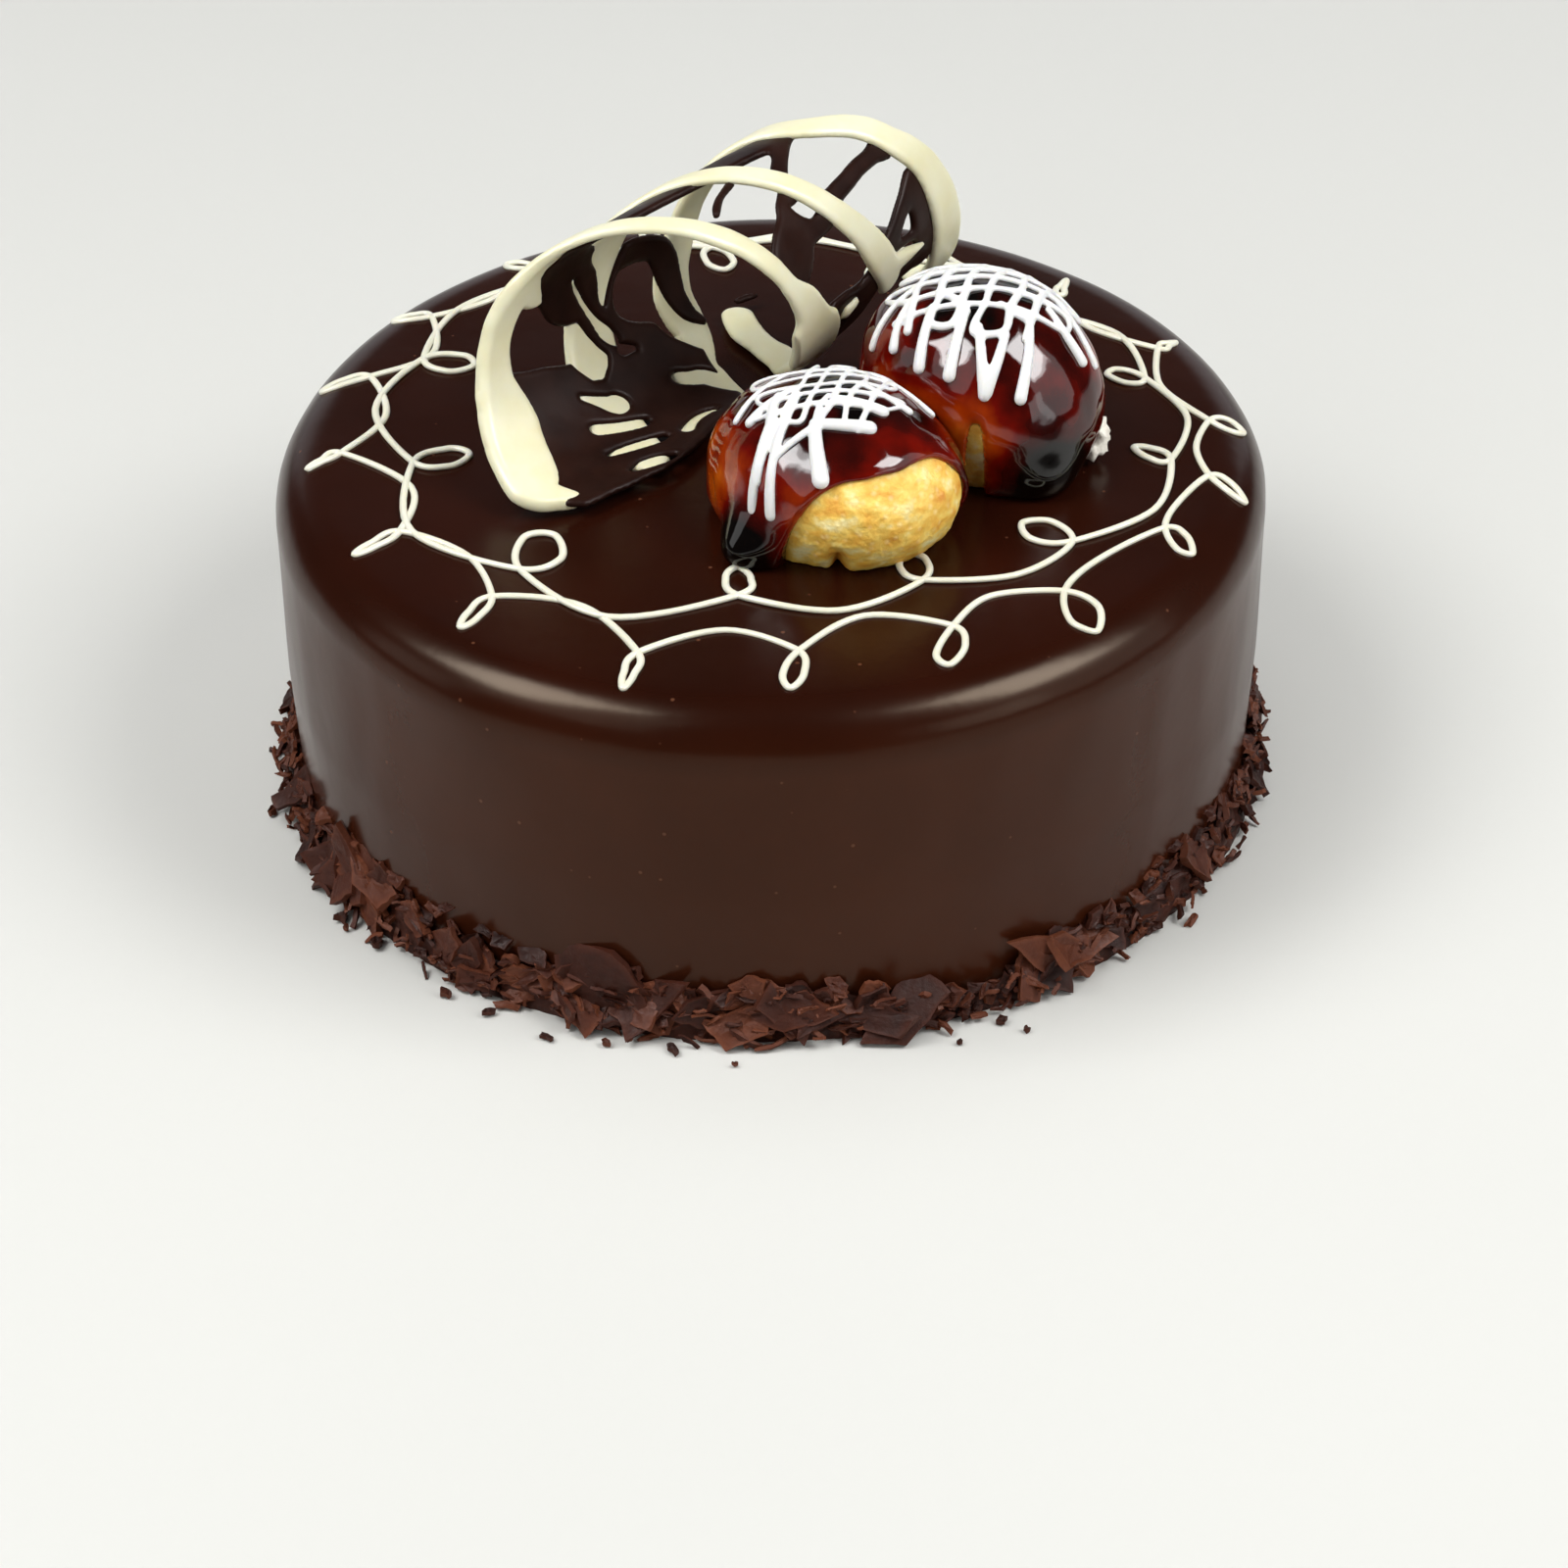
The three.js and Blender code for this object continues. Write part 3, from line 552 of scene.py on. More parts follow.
def rounding(field, width):
    """Rise from nothing at a border to full height, like the edge of a drop."""
    return np.sqrt(1 - (1 - np.clip(field / width, 0, 1)) ** 2)


def clipped_shell(points, normals, triangles, field, middle, up, down):
    """Closed shell over the part of a surface where the field is above zero. Its two skins lie at
    middle + up and middle - down over the surface, and meet in one line along its border."""
    inside = field > 0
    number = np.cumsum(inside) - 1
    count = int(inside.sum())
    kept = inside[triangles].sum(1)
    cut = triangles[(kept == 1) | (kept == 2)]
    odd_one = inside[cut] == (inside[cut].sum(1) == 1)[:, None]
    first = odd_one.argmax(1)
    rows = np.arange(len(cut))
    lone, ahead, behind = [cut[rows, (first + step) % 3] for step in range(3)]
    pairs = np.sort(np.concatenate([np.stack([lone, ahead], 1), np.stack([lone, behind], 1)]), 1)
    edges, which = np.unique(pairs, axis=0, return_inverse=True)
    which = which.reshape(-1)
    share = field[edges[:, 0]] / (field[edges[:, 0]] - field[edges[:, 1]])
    share = np.clip(share, LEAST_CUT, 1 - LEAST_CUT)[:, None]

    def at_border(values):
        return values[edges[:, 0]] * (1 - share) + values[edges[:, 1]] * share

    middle = np.broadcast_to(middle, len(points))[:, None]
    rim = at_border(points) + unit(at_border(normals)) * at_border(middle)
    outer = (points + normals * (middle + up[:, None]))[inside]
    inner = (points + normals * (middle - down[:, None]))[inside]
    border_ahead = 2 * count + which[:len(cut)]
    border_behind = 2 * count + which[len(cut):]
    in_lone = inside[lone]
    faces = []
    for skin, turn in ((0, 1), (count, -1)):
        whole = number[triangles[kept == 3]] + skin
        tips = np.stack([number[lone] + skin, border_ahead, border_behind], 1)[in_lone]
        sides = (number[ahead] + skin, number[behind] + skin, border_behind, border_ahead)
        bands = np.stack(sides, 1)[~in_lone]
        for group in (whole, tips, bands):
            faces.extend(tuple(face)[::turn] for face in group.tolist())
    source = np.concatenate([np.flatnonzero(inside), np.flatnonzero(inside), edges[:, 0]])
    return np.concatenate([outer, inner, rim]), faces, source


# Glazed body

def roundness(angle):
    return 1 + waves(angle, OUTLINE_WAVES)


def top_height(radius):
    past = np.maximum(0, radius - (CAKE_RADIUS - EDGE_ROUND))
    return CAKE_HEIGHT - EDGE_ROUND + np.sqrt(np.maximum(0, EDGE_ROUND ** 2 - past ** 2))


def glaze_profile():
    """Radius and height from the middle of the top, over the edge and down to the foot."""
    shoulder = CAKE_RADIUS - EDGE_ROUND
    rows = [(r, CAKE_HEIGHT) for r in np.linspace(HUB_RADIUS, shoulder, TOP_RINGS)]
    for turn in np.radians(np.linspace(EDGE_START, 90, EDGE_RINGS)):
        rows.append((shoulder + EDGE_ROUND * math.sin(turn),
                     CAKE_HEIGHT - EDGE_ROUND + EDGE_ROUND * math.cos(turn)))
    for height in np.linspace(CAKE_HEIGHT - EDGE_ROUND - SIDE_START, 0, SIDE_RINGS):
        inset = max(0, 1 - height / FULL_WIDTH_LEVEL)
        rows.append((CAKE_RADIUS - (CAKE_RADIUS - FOOT_RADIUS) * inset, height))
    return np.array(rows)


def glaze(material):
    """Skin of the cake, nearly level on top and drawn out in sags and runs down its side."""
    profile = glaze_profile()
    angles = np.linspace(0, 2 * math.pi, BODY_SIDES, endpoint=False)
    radius = profile[:, :1] * roundness(angles)
    points = ring_points(radius, angles, np.repeat(profile[:, 1:], BODY_SIDES, 1))
    outward = unit(points * (1, 1, 0))
    near_edge = fade(np.hypot(points[:, 0], points[:, 1]), *SAGGING_RADII)
    drawn = fade(points[:, 2], *DRAWN_LEVELS)
    sag = grain(points * SAG_STRETCH, SAG_SIZE, octaves=2)
    runs = grain(points * RUN_STRETCH, RUN_SIZE, octaves=2, shift=40)
    points = points + outward * (drawn * (SIDE_SAG * sag + SIDE_RUN * runs))[:, None]
    points[:, 2] += (1 - drawn) * (TOP_SAG * sag * near_edge + TOP_RUN * runs)
    faces = [face[::-1] for face in ring_faces(len(profile), BODY_SIDES)]
    faces.append(tuple(range(BODY_SIDES)))
    faces.append(tuple(range(len(points) - BODY_SIDES, len(points)))[::-1])
    # drawn also tells the material where the side is painted lighter than the top
    add_piece("glaze", points, faces, material, ["cake"], attributes={"drawn": drawn})


# Chocolate flakes

def shard(draw, length, width, thickness, bend, kind):
    """Plate with a broken outline and rough faces, curled along its length."""
    corners = int(draw.integers(*SHARD_CORNERS))
    places = np.arange(corners) + 0.5 + draw.uniform(-SHARD_SPREAD, SHARD_SPREAD, corners)
    turns = places * 2 * math.pi / corners
    reach = draw.uniform(*SHARD_REACH, corners)
    main = np.stack([reach * np.cos(turns) * length, reach * np.sin(turns) * width], 1)
    outline = []
    for start, end in zip(main, np.roll(main, -1, 0)):
        aside = np.array([end[1] - start[1], start[0] - end[0]])
        for step in range(kind["steps"]):
            tooth = draw.uniform(-kind["jag"], kind["jag"]) if step else 0
            outline.append(start + (end - start) * step / kind["steps"] + aside * tooth)
    outline = np.array(outline)
    heart = outline.mean(0)
    flat = np.concatenate([[heart]] + [heart + (outline - heart) * ring for ring in SHARD_RINGS])
    turn = flat[:, 0] * bend
    curved = np.column_stack([np.sin(turn) / bend, flat[:, 1], (np.cos(turn) - 1) / bend])
    normals = np.column_stack([np.sin(turn), 0 * turn, np.cos(turn)])
    uneven = draw.normal(0, kind["rough"], len(flat))
    layers = []
    for side in (1, -1):
        half = thickness / 2 * (1 + THICKNESS_CHANCE * draw.uniform(-1, 1, len(flat)))
        layers.append(curved + normals * (uneven + side * half)[:, None])
    return np.concatenate(layers), shard_faces(len(outline))


def shard_faces(sides):
    """Faces of a shard: on both sides a heart with rings round it, and a wall along the outline."""
    low = 1 + len(SHARD_RINGS) * sides
    outline = low - sides
    faces = []
    for i in range(sides):
        j = (i + 1) % sides
        faces.append((0, 1 + i, 1 + j))
        faces.append((low, low + 1 + j, low + 1 + i))
        for a in range(1, outline, sides):
            b = a + sides
            faces.append((a + i, b + i, b + j, a + j))
            faces.append((low + a + i, low + a + j, low + b + j, low + b + i))
        faces.append((outline + i, low + outline + i, low + outline + j, outline + j))
    return faces


def shard_tones(points, tone):
    """Tone of each point of a shard, lighter along its broken outline."""
    one_side = np.full(len(points) // 2, tone)
    sides = len(one_side) // len(SHARD_RINGS)
    one_side[-sides:] += OUTLINE_LIGHTER
    return np.concatenate([one_side, one_side])


def turned(points, turn, lean, bearing):
    """Plate turned in its plane, stood up with a lean, and swung to a bearing."""
    swing = Matrix.Rotation(bearing, 3, "Z") @ Matrix.Rotation(lean, 3, "X")
    return points @ np.array(swing @ Matrix.Rotation(turn, 3, "Z")).T


def collar_height(angle):
    """Height that the flakes reach round the foot."""
    return COLLAR_HEIGHT + waves(angle, COLLAR_WAVES)


def coarseness(angle):
    """Nearness of a bearing to the places where the large flakes lie."""
    nearness = []
    for bearing, scatter, _ in COARSE_PLACES:
        gap = wrapped(math.degrees(angle) - bearing) / (COARSE_BLUR * scatter)
        nearness.append(math.exp(-gap ** 2))
    return max(nearness)


def rested(shape, angle, radius, level):
    """Flake at its place, drawn back where it passes the collar's reach and lifted off the floor."""
    outward = np.array([math.cos(angle), math.sin(angle), 0])
    shape = shape + radius * outward + (0, 0, level)
    shape = shape - outward * max(0, np.hypot(shape[:, 0], shape[:, 1]).max() - COLLAR_REACH)
    shape[:, 2] += max(0, FLOOR_GAP - shape[:, 2].min())
    return shape


def add_shards(name, shards, tones, material, replaced):
    points, faces = gather(shards)
    tones = [shard_tones(shape, tone) for (shape, _), tone in zip(shards, tones)]
    add_piece(name, points, faces, material, replaced, sharp=SHARD_CREASE,
              attributes={"tone": np.concatenate(tones)})


def flakes(name, material):
    """All the flakes of one kind, resting against the foot of the cake."""
    kind = FLAKES[name]
    draw = np.random.default_rng(FLAKE_SEED + kind["count"])
    shares = [share for _, _, share in COARSE_PLACES]
    shards = []
    tones = []
    for i in range(kind["count"]):
        angle = (i + draw.uniform(0, 1)) / kind["count"] * 2 * math.pi
        if draw.uniform() < kind["gathered"]:
            bearing, scatter, _ = COARSE_PLACES[draw.choice(len(COARSE_PLACES), p=shares)]
            angle = math.radians(bearing + scatter * draw.normal())
        size = SIZE_CHANCE * draw.uniform()
        size += (1 - SIZE_CHANCE) * coarseness(angle) * draw.uniform(*COARSE_CHANCE)
        length = spread(kind["length"], size)
        width = spread(kind["width"], size) * draw.uniform(*WIDTH_CHANCE)
        bend = draw.uniform(*kind["bend"]) * draw.choice((-1, 1))
        shape, faces = shard(draw, length, width, draw.uniform(*kind["thick"]), bend, kind)
        level = draw.uniform(*kind["level"]) * collar_height(angle)
        held = max(LEAST_HOLD, 1 - level / COLLAR_FADE)
        twist = draw.uniform(-1, 1) * kind["twist"] * held
        stand = math.pi / 2 - draw.uniform(*kind["lean"])
        turn = draw.uniform(-1, 1) * kind["turn"]
        shape = turned(shape, turn, stand, angle + math.pi / 2 + twist)
        proud = COLLAR_DEPTH + draw.uniform(*kind["proud"])
        shape = rested(shape, angle, FOOT_RADIUS * roundness(angle) + proud * held, level)
        shards.append((shape, faces))
        tones.append(draw.uniform())
    add_shards(name, shards, tones, material, ["cake"])


def crumbs(material):
    """Loose crumbs on the floor beside the collar."""
    draw = np.random.default_rng(FLAKE_SEED)
    shards = []
    tones = []
    for _ in range(CRUMBS["count"]):
        angle = math.radians(draw.normal(*CRUMBS["bearing"]))
        length = draw.uniform(*CRUMBS["length"])
        width = length * draw.uniform(*CRUMBS["width"])
        thickness = draw.uniform(*CRUMBS["thick"])
        shape, faces = shard(draw, length, width, thickness, CRUMBS["bend"], CRUMBS)
        turn = draw.uniform(*ANY_TURN)
        lean = draw.uniform(*CRUMBS["lean"])
        shape = turned(shape, turn, lean, draw.uniform(*ANY_TURN))
        radius = spread(CRUMBS["radius"], draw.uniform() ** 2)
        place = (radius * math.cos(angle), radius * math.sin(angle), FLOOR_GAP - shape[:, 2].min())
        shards.append((shape + place, faces))
        tones.append(draw.uniform())
    add_shards("crumbs", shards, tones, material, [])


def crumb_bed(material):
    """Rough ring of fine crumbs that the flakes lie on."""
    angles = np.linspace(0, 2 * math.pi, BED_SIDES, endpoint=False)
    rise = np.linspace(0, 1, BED_ROWS)[:, None]
    height = rise * BED_RISE * collar_height(angles)
    radius = FOOT_RADIUS * roundness(angles) + BED_START + BED_DEPTH * (1 - rise ** 2)
    points = ring_points(radius, angles, height)
    rough = BED_ROUGH * grain(points, BED_GRAIN).reshape(BED_ROWS, BED_SIDES)
    rough *= np.sin(np.pi * spread(BED_CALM, rise))
    rough[-1] = BED_TUCK
    points += unit(points * (1, 1, 0)) * rough.reshape(-1, 1)
    tone = BED_TONE * (1 + grain(points, BED_TONE_SIZE, octaves=2, shift=9))
    add_piece("crumb_bed", points, ring_faces(BED_ROWS, BED_SIDES), material, ["cake"],
              attributes={"tone": tone})


# Piped scrolls

def scroll_line(loops):
    """Closed line through all the loops, each a drop that the line enters and leaves at its neck."""
    stations = []
    for k, (angle, neck_radius, swing, tip_radius, half_width, middle_radius) in enumerate(loops):
        following = loops[(k + 1) % len(loops)][0]
        following += 360 if following < angle else 0
        neck = polar(angle, neck_radius)
        tip = polar(angle + swing, tip_radius)
        onward = polar(angle + 90, half_width)
        wide = neck + LOOP_WIDEST * (tip - neck)
        crossing = LOOP_CROSSING * onward
        stations += [neck - crossing, wide + onward, tip, wide - onward, neck + crossing]
        stations.append(polar((angle + following) / 2, middle_radius))
    return smooth_path(stations, LOOP_STEPS, closed=True)


def piping(material):
    """Two rings of loops piped on the top, the inner one over the outer one."""
    parts = []
    for loops, lift in ((OUTER_LOOPS, OUTER_LIFT), (INNER_LOOPS, INNER_LIFT)):
        line = scroll_line(loops)
        angle = np.arctan2(line[:, 1], line[:, 0])
        radius = np.hypot(line[:, 0], line[:, 1])
        height = top_height(radius / roundness(angle)) + lift
        height += PIPE_WAVE * np.sin(np.arange(len(line)) * PIPE_WAVE_STEP)
        points = np.column_stack([line, height])
        thickness = PIPE_RADIUS * (1 + PIPE_UNEVEN * grain(points, PIPE_GRAIN, octaves=2))
        normals = np.tile((0.0, 0.0, 1.0), (len(points), 1))
        parts.append(tube(points, normals, thickness, flat=PIPE_FLAT, closed=True))
    points, faces = gather(parts)
    add_piece("piping", points, faces, material, ["cake"])


# Choux puffs

def half_height(puff):
    return puff["high"] / (1 + HEART_SHARE)


def puff_heart(puff):
    return np.array([*puff["at"], TOP + puff["high"] - half_height(puff)])


def puff_reach(puff, ways):
    """Distance from a puff's heart to its skin along some directions."""
    cos, sin = math.cos(-PUFF_TURN), math.sin(-PUFF_TURN)
    x, y, z = ways[..., 0], ways[..., 1], ways[..., 2]
    along = (cos * x - sin * y) / puff["along"]
    across = (sin * x + cos * y) / puff["across"]
    egg = np.sqrt(along ** 2 + across ** 2 + (z / half_height(puff)) ** 2)
    sideways = np.sin(LUMP_WAVES["x"] * x + puff["lump"]) * np.sin(LUMP_WAVES["y"] * y - puff["lump"])
    upward = np.sin(LUMP_WAVES["z"] * z + LUMP_WAVES["slant"] * x)
    return (1 + LUMP_SIZE * (sideways + upward)) / egg


def ball(divisions):
    """Directions and triangles of an evenly divided ball."""
    mesh = bmesh.new()
    bmesh.ops.create_icosphere(mesh, subdivisions=divisions, radius=1)
    ways = unit(np.array([v.co for v in mesh.verts]))
    triangles = np.array([[v.index for v in f.verts] for f in mesh.faces])
    mesh.free()
    return ways, triangles


def bearings(ways):
    return np.degrees(np.arctan2(ways[:, 1], ways[:, 0]))


def rises(ways):
    return np.degrees(np.arcsin(np.clip(ways[:, 2], -1, 1)))


def push_out_of_front(points, heart, clearance):
    """Points of the back puff drawn towards its heart until they are clear of the front one."""
    front = PUFFS["front"]
    other = puff_heart(front)
    for _ in range(DRAW_PASSES):
        ways = points - other
        distance = np.linalg.norm(ways, axis=1)
        inside = distance < puff_reach(front, unit(ways)) + clearance
        if not inside.any():
            break
        points[inside] = heart + (points[inside] - heart) * DRAW_BACK
    return points


def puff_surface(name):
    """A puff with its heart, and the directions, triangles, reach and points of its skin."""
    puff = PUFFS[name]
    ways, triangles = ball(puff["divisions"])
    heart = puff_heart(puff)
    reach = puff_reach(puff, ways)
    skin = heart + ways * reach[:, None]
    return puff, heart, ways, triangles, reach, skin


def choux(name, material):
    """Baked skin of a puff, wrinkled, pitted, and torn low on its bare side."""
    puff, heart, ways, triangles, reach, skin = puff_surface(name)
    wrinkle = grain(skin * WRINKLE_STRETCH, WRINKLE_SIZE)
    pores = grain(skin, PORE_SIZE, octaves=2, shift=30)
    skin = heart + ways * (reach - SKIN_INSET + WRINKLE * wrinkle + PORE * pores)[:, None]
    aside = wrapped(bearings(ways) - puff["bare"][0])
    tear = np.exp(-((aside - TEAR_ASIDE) / TEAR_WIDTH) ** 2) * fade(rises(ways), *TEAR_RISES)
    skin -= ways * (TEAR_DEPTH * tear)[:, None]
    skin[:, 2] = np.maximum(skin[:, 2], TOP - SKIN_INSET)
    if name == "back":
        skin = push_out_of_front(skin, heart, CARAMEL + SKIN_CLEARANCE)
    # Browner on raised wrinkles and towards the bottom right, with painted shade in the tear's groove
    low_right = fade(skin[:, 2], *BROWNER_LEVELS) * fade(aside, *BROWNER_BEARINGS)
    toast_and_shade = TOAST_AND_SHADE["all"] + TOAST_AND_SHADE["wrinkle"] * wrinkle + TOAST_AND_SHADE["tear"] * tear + TOAST_AND_SHADE["low"] * low_right
    add_piece("choux_" + name + "_skin", skin, triangles.tolist(), material, ["choux_" + name],
              attributes={"toast_and_shade": toast_and_shade})


def torn_lump(material):
    """Ragged lump of choux that stands out of the caramel of the back puff."""
    ways, triangles = ball(TORN_DIVISIONS)
    bearing, reach, height = TORN_LUMP
    at = np.array([*(puff_heart(PUFFS["back"])[:2] + polar(bearing, reach)), TOP + height])
    points = ways * TORN_HALF_SIZES
    ragged = 1 + TORN_RAGGED * grain(points, TORN_GRAIN, shift=5)
    points = at + points * ragged[:, None]
    points[:, 2] = np.maximum(points[:, 2], TOP - TORN_SINK)
    add_piece("choux_back_torn", points, triangles.tolist(), material, ["choux_back"],
              attributes={"toast_and_shade": np.full(len(points), TOAST_AND_SHADE["torn"])})


# Caramel

def bare_edge(puff, ways):
    """Height in degrees of the caramel's edge over the bare side of a puff, far below elsewhere."""
    middle, half_width, edge = puff["bare"]
    share = np.abs(wrapped(bearings(ways) - middle)) / half_width
    arch = BARE_FOOT + (edge - BARE_FOOT) * (1 - np.minimum(share, 1) ** BARE_ARCH)
    return arch - BARE_FALL * np.maximum(0, share - 1)


def foot_swell(name, ways, heights):
    """Depth of the set feet in which the caramel ends on the cake."""
    swell = np.zeros(len(ways))
    for bearing, width, depth, height in FEET[name]:
        aside = wrapped(bearings(ways) - bearing) / width
        rise = np.maximum(heights - TOP - FOOT_BELLY, 0) / height
        under = fade(heights, TOP + FOOT_BELLY, TOP)
        swell += depth * np.exp(-aside ** 2 - rise ** 2) * (1 - FOOT_UNDERCUT * under ** 2)
    return swell


def caramel_shade(puff, ways, field, lumps, pooled):
    """How dark the caramel is: dark on the crown and in the feet, light where it is thin."""
    turn = np.radians(bearings(ways) - puff["thin"])
    shares = {
        "crown": fade(rises(ways), *CROWN_RISES),
        "lumps": lumps,
        "feet": pooled,
        "border": fade(field, BORDER_WIDTH, 0),
        "thin": fade(np.cos(turn), *THIN_COSINES) * fade(rises(ways), *THIN_RISES),
    }
    return SHADE["all"] + sum(SHADE[label] * share for label, share in shares.items())


def caramel(name, material):
    """Coat over a puff, open over its bare side and ending in feet on the cake."""
    puff, heart, ways, triangles, reach, skin = puff_surface(name)
    swell = foot_swell(name, ways, skin[:, 2])
    pooled = foot_swell(name, ways, TOP + POOL_SQUEEZE * (skin[:, 2] - TOP))
    lumps = grain(skin, COAT_LUMP_SIZE, octaves=2) * fade(pooled, POOL_CALM, 0)
    wave = grain(skin, EDGE_WAVE_SIZE, octaves=2, shift=11, basis="PERLIN_ORIGINAL")
    edge = bare_edge(puff, ways) + EDGE_WAVE * wave
    field = (rises(ways) - edge) * math.radians(1) * reach * EDGE_SLOPE
    field = np.minimum(field, skin[:, 2] - (CAKE_HEIGHT - COAT_SINK))
    up = rounding(field, COAT_ROUND) * (CARAMEL - COAT_LUMP * (1 - lumps))
    down = rounding(field, UNDER_ROUND) * UNDER_DEPTH
    points, faces, source = clipped_shell(skin, ways, triangles, field, COAT_MIDDLE, up, down)
    outer = int((field > 0).sum())
    points[:outer] += (unit(ways * (1, 1, 0)) * swell[:, None])[source[:outer]]
    points[:, 2] = np.maximum(points[:, 2], COAT_FOOT)
    if name == "back":
        points = push_out_of_front(points, heart, CARAMEL + COAT_CLEARANCE)
    shade = caramel_shade(puff, ways, field, lumps, pooled)
    add_piece("caramel_" + name + "_coat", points, faces, material, ["caramel_" + name],
              attributes={"depth": shade[source]})


# Icing

def icing_points(name, places):
    """Places on the map of angles from a puff's top, as points on its caramel and their normals."""
    puff = PUFFS[name]
    places = np.asarray(places, dtype=float)
    tilt = np.radians(np.hypot(places[:, 0], places[:, 1]))
    turn = np.arctan2(places[:, 1], places[:, 0])
    ways = np.stack([np.sin(tilt) * np.cos(turn), np.sin(tilt) * np.sin(turn), np.cos(tilt)], 1)
    return puff_heart(puff) + ways * (puff_reach(puff, ways) + CARAMEL + ICING_LIFT)[:, None], ways


def drizzle(name, draw, turn, count, spacing, shift, half_length, radius):
    """One thread of icing to and fro over a puff."""
    along = polar(turn, 1)
    across = polar(turn + 90, 1)
    stations = []
    for i in range(count):
        aside = (i - (count - 1) / 2) * spacing
        half = half_length * math.sqrt(max(DRIZZLE_LEAST, 1 - (aside / DRIZZLE_REACH) ** 2))
        start = -half * draw.uniform(*DRIZZLE_CHANCE)
        runs = np.linspace(start, half * draw.uniform(*DRIZZLE_CHANCE), DRIZZLE_STATIONS)
        for run in runs if i % 2 == 0 else runs[::-1]:
            wander = draw.uniform(-ICING_WANDER, ICING_WANDER)
            stations.append(shift + along * run + across * (aside + wander))
    points, ways = icing_points(name, smooth_path(stations, DRIZZLE_STEPS))
    radii = radius * (DRIZZLE_FULL + DRIZZLE_UNEVEN * grain(points, DRIZZLE_GRAIN, octaves=2))
    return tube(points, ways, radii, flat=ICING_FLAT)


def icing_threads(name):
    """Beads of all the lines and drips of icing on a puff."""
    draw = np.random.default_rng(PUFFS[name]["seed"])
    parts = [drizzle(name, draw, *row) for row in DRIZZLES[name]]
    for start_x, start_y, end_x, end_y, radius in DRIPS[name]:
        start, end = np.array([start_x, start_y]), np.array([end_x, end_y])
        middle = (start + end) / 2 + draw.uniform(-ICING_WANDER, ICING_WANDER, 2)
        points, ways = icing_points(name, smooth_path([start, middle, end], DRIP_STEPS))
        radii = radius * np.linspace(DRIP_START, 1.0, len(points))
        parts.append(tube(points, ways, radii, flat=ICING_FLAT))
    return parts


def fuse(piece, voxel, passes):
    """Melts crossing beads of a mesh into one skin."""
    remesh = piece.modifiers.new("melt", "REMESH")
    remesh.mode = "VOXEL"
    remesh.voxel_size = voxel * MM
    remesh.use_smooth_shade = True
    ease = piece.modifiers.new("ease", "SMOOTH")
    ease.factor = 0.5
    ease.iterations = passes
    graph = bpy.context.evaluated_depsgraph_get()
    melted = bpy.data.meshes.new_from_object(piece.evaluated_get(graph))
    material = piece.data.materials[0]
    piece.modifiers.clear()
    old = piece.data
    melted.name = old.name
    piece.data = melted
    bpy.data.meshes.remove(old)
    if not piece.data.materials:
        piece.data.materials.append(material)


def icing(name, material):
    points, faces = gather(icing_threads(name))
    piece = add_piece("icing_" + name, points, faces, material, ["caramel_" + name])
    fuse(piece, ICING_VOXEL, ICING_PASSES)


# Rolled lattice

def strip_run(share, degrees):
    """Distance along the tube of a place on the strip."""
    return share * STRIP_WIDTH + (CURL_ADVANCE - share * CURL_ADVANCE_LOSS) * degrees / 360


def curl_points(share, degrees):
    """Points of the rolled strip."""
    axis = np.array([math.cos(CURL_TURN), math.sin(CURL_TURN)])
    side = np.array([axis[1], -axis[0]])
    roll = np.radians(degrees)
    run = strip_run(share, degrees)
    growth = 1 + CURL_GROWTH * degrees / 180
    across = share * CURL_SHIFT - (CURL_HALF_WIDTH - share * CURL_TAPER) * growth * np.sin(roll)
    up = np.maximum(0, CURL_HALF_HEIGHT * (1 - growth * np.cos(roll)))
    return np.stack([CURL_FOOT[0] + axis[0] * run + side[0] * across,
                     CURL_FOOT[1] + axis[1] * run + side[1] * across, TOP + CURL_LIFT + up], -1)


def curl_grid():
    """Shares, roll angles, points, normals and triangles of the whole strip with room round it."""
    shares = np.linspace(*GRID_SHARES)
    degrees = np.linspace(*GRID_ROLLS)
    share, roll = [a.reshape(-1) for a in np.meshgrid(shares, degrees, indexing="ij")]
    along = curl_points(share, roll + ROLL_STEP) - curl_points(share, roll - ROLL_STEP)
    across = curl_points(share + SHARE_STEP, roll) - curl_points(share - SHARE_STEP, roll)
    normals = unit(np.cross(across, along))
    rows, columns = len(shares), len(degrees)
    corner = (np.arange(rows - 1)[:, None] * columns + np.arange(columns - 1)[None]).reshape(-1)
    lower = np.stack([corner, corner + columns, corner + 1], 1)
    upper = np.stack([corner + 1, corner + columns, corner + columns + 1], 1)
    return share, roll, curl_points(share, roll), normals, np.concatenate([lower, upper])


def flattened(share, degrees):
    """Place on the strip laid flat, in millimetres."""
    return np.stack([strip_run(share, degrees), np.radians(degrees) * ROLL_RADIUS], -1)


def stroke(places, stations):
    """Depth inside a line of changing width, below zero outside it."""
    path = smooth_path(stations, STROKE_STEPS)
    spots = flattened(path[:, 0], path[:, 1])
    best = np.full(len(places), -1e3)
    for i in range(len(spots) - 1):
        run = spots[i + 1] - spots[i]
        share = np.clip(((places - spots[i]) @ run) / max(run @ run, 1e-9), 0, 1)
        gap = np.linalg.norm(places - spots[i] - share[:, None] * run, axis=1)
        best = np.maximum(best, spread(path[i:i + 2, 2], share) / 2 - gap)
    return best


def melted_union(fields, soft):
    """Union of fields whose corners flow into each other."""
    stack = np.clip(np.stack(fields) / soft, -40, 40)
    return soft * np.log(np.exp(stack).sum(0))


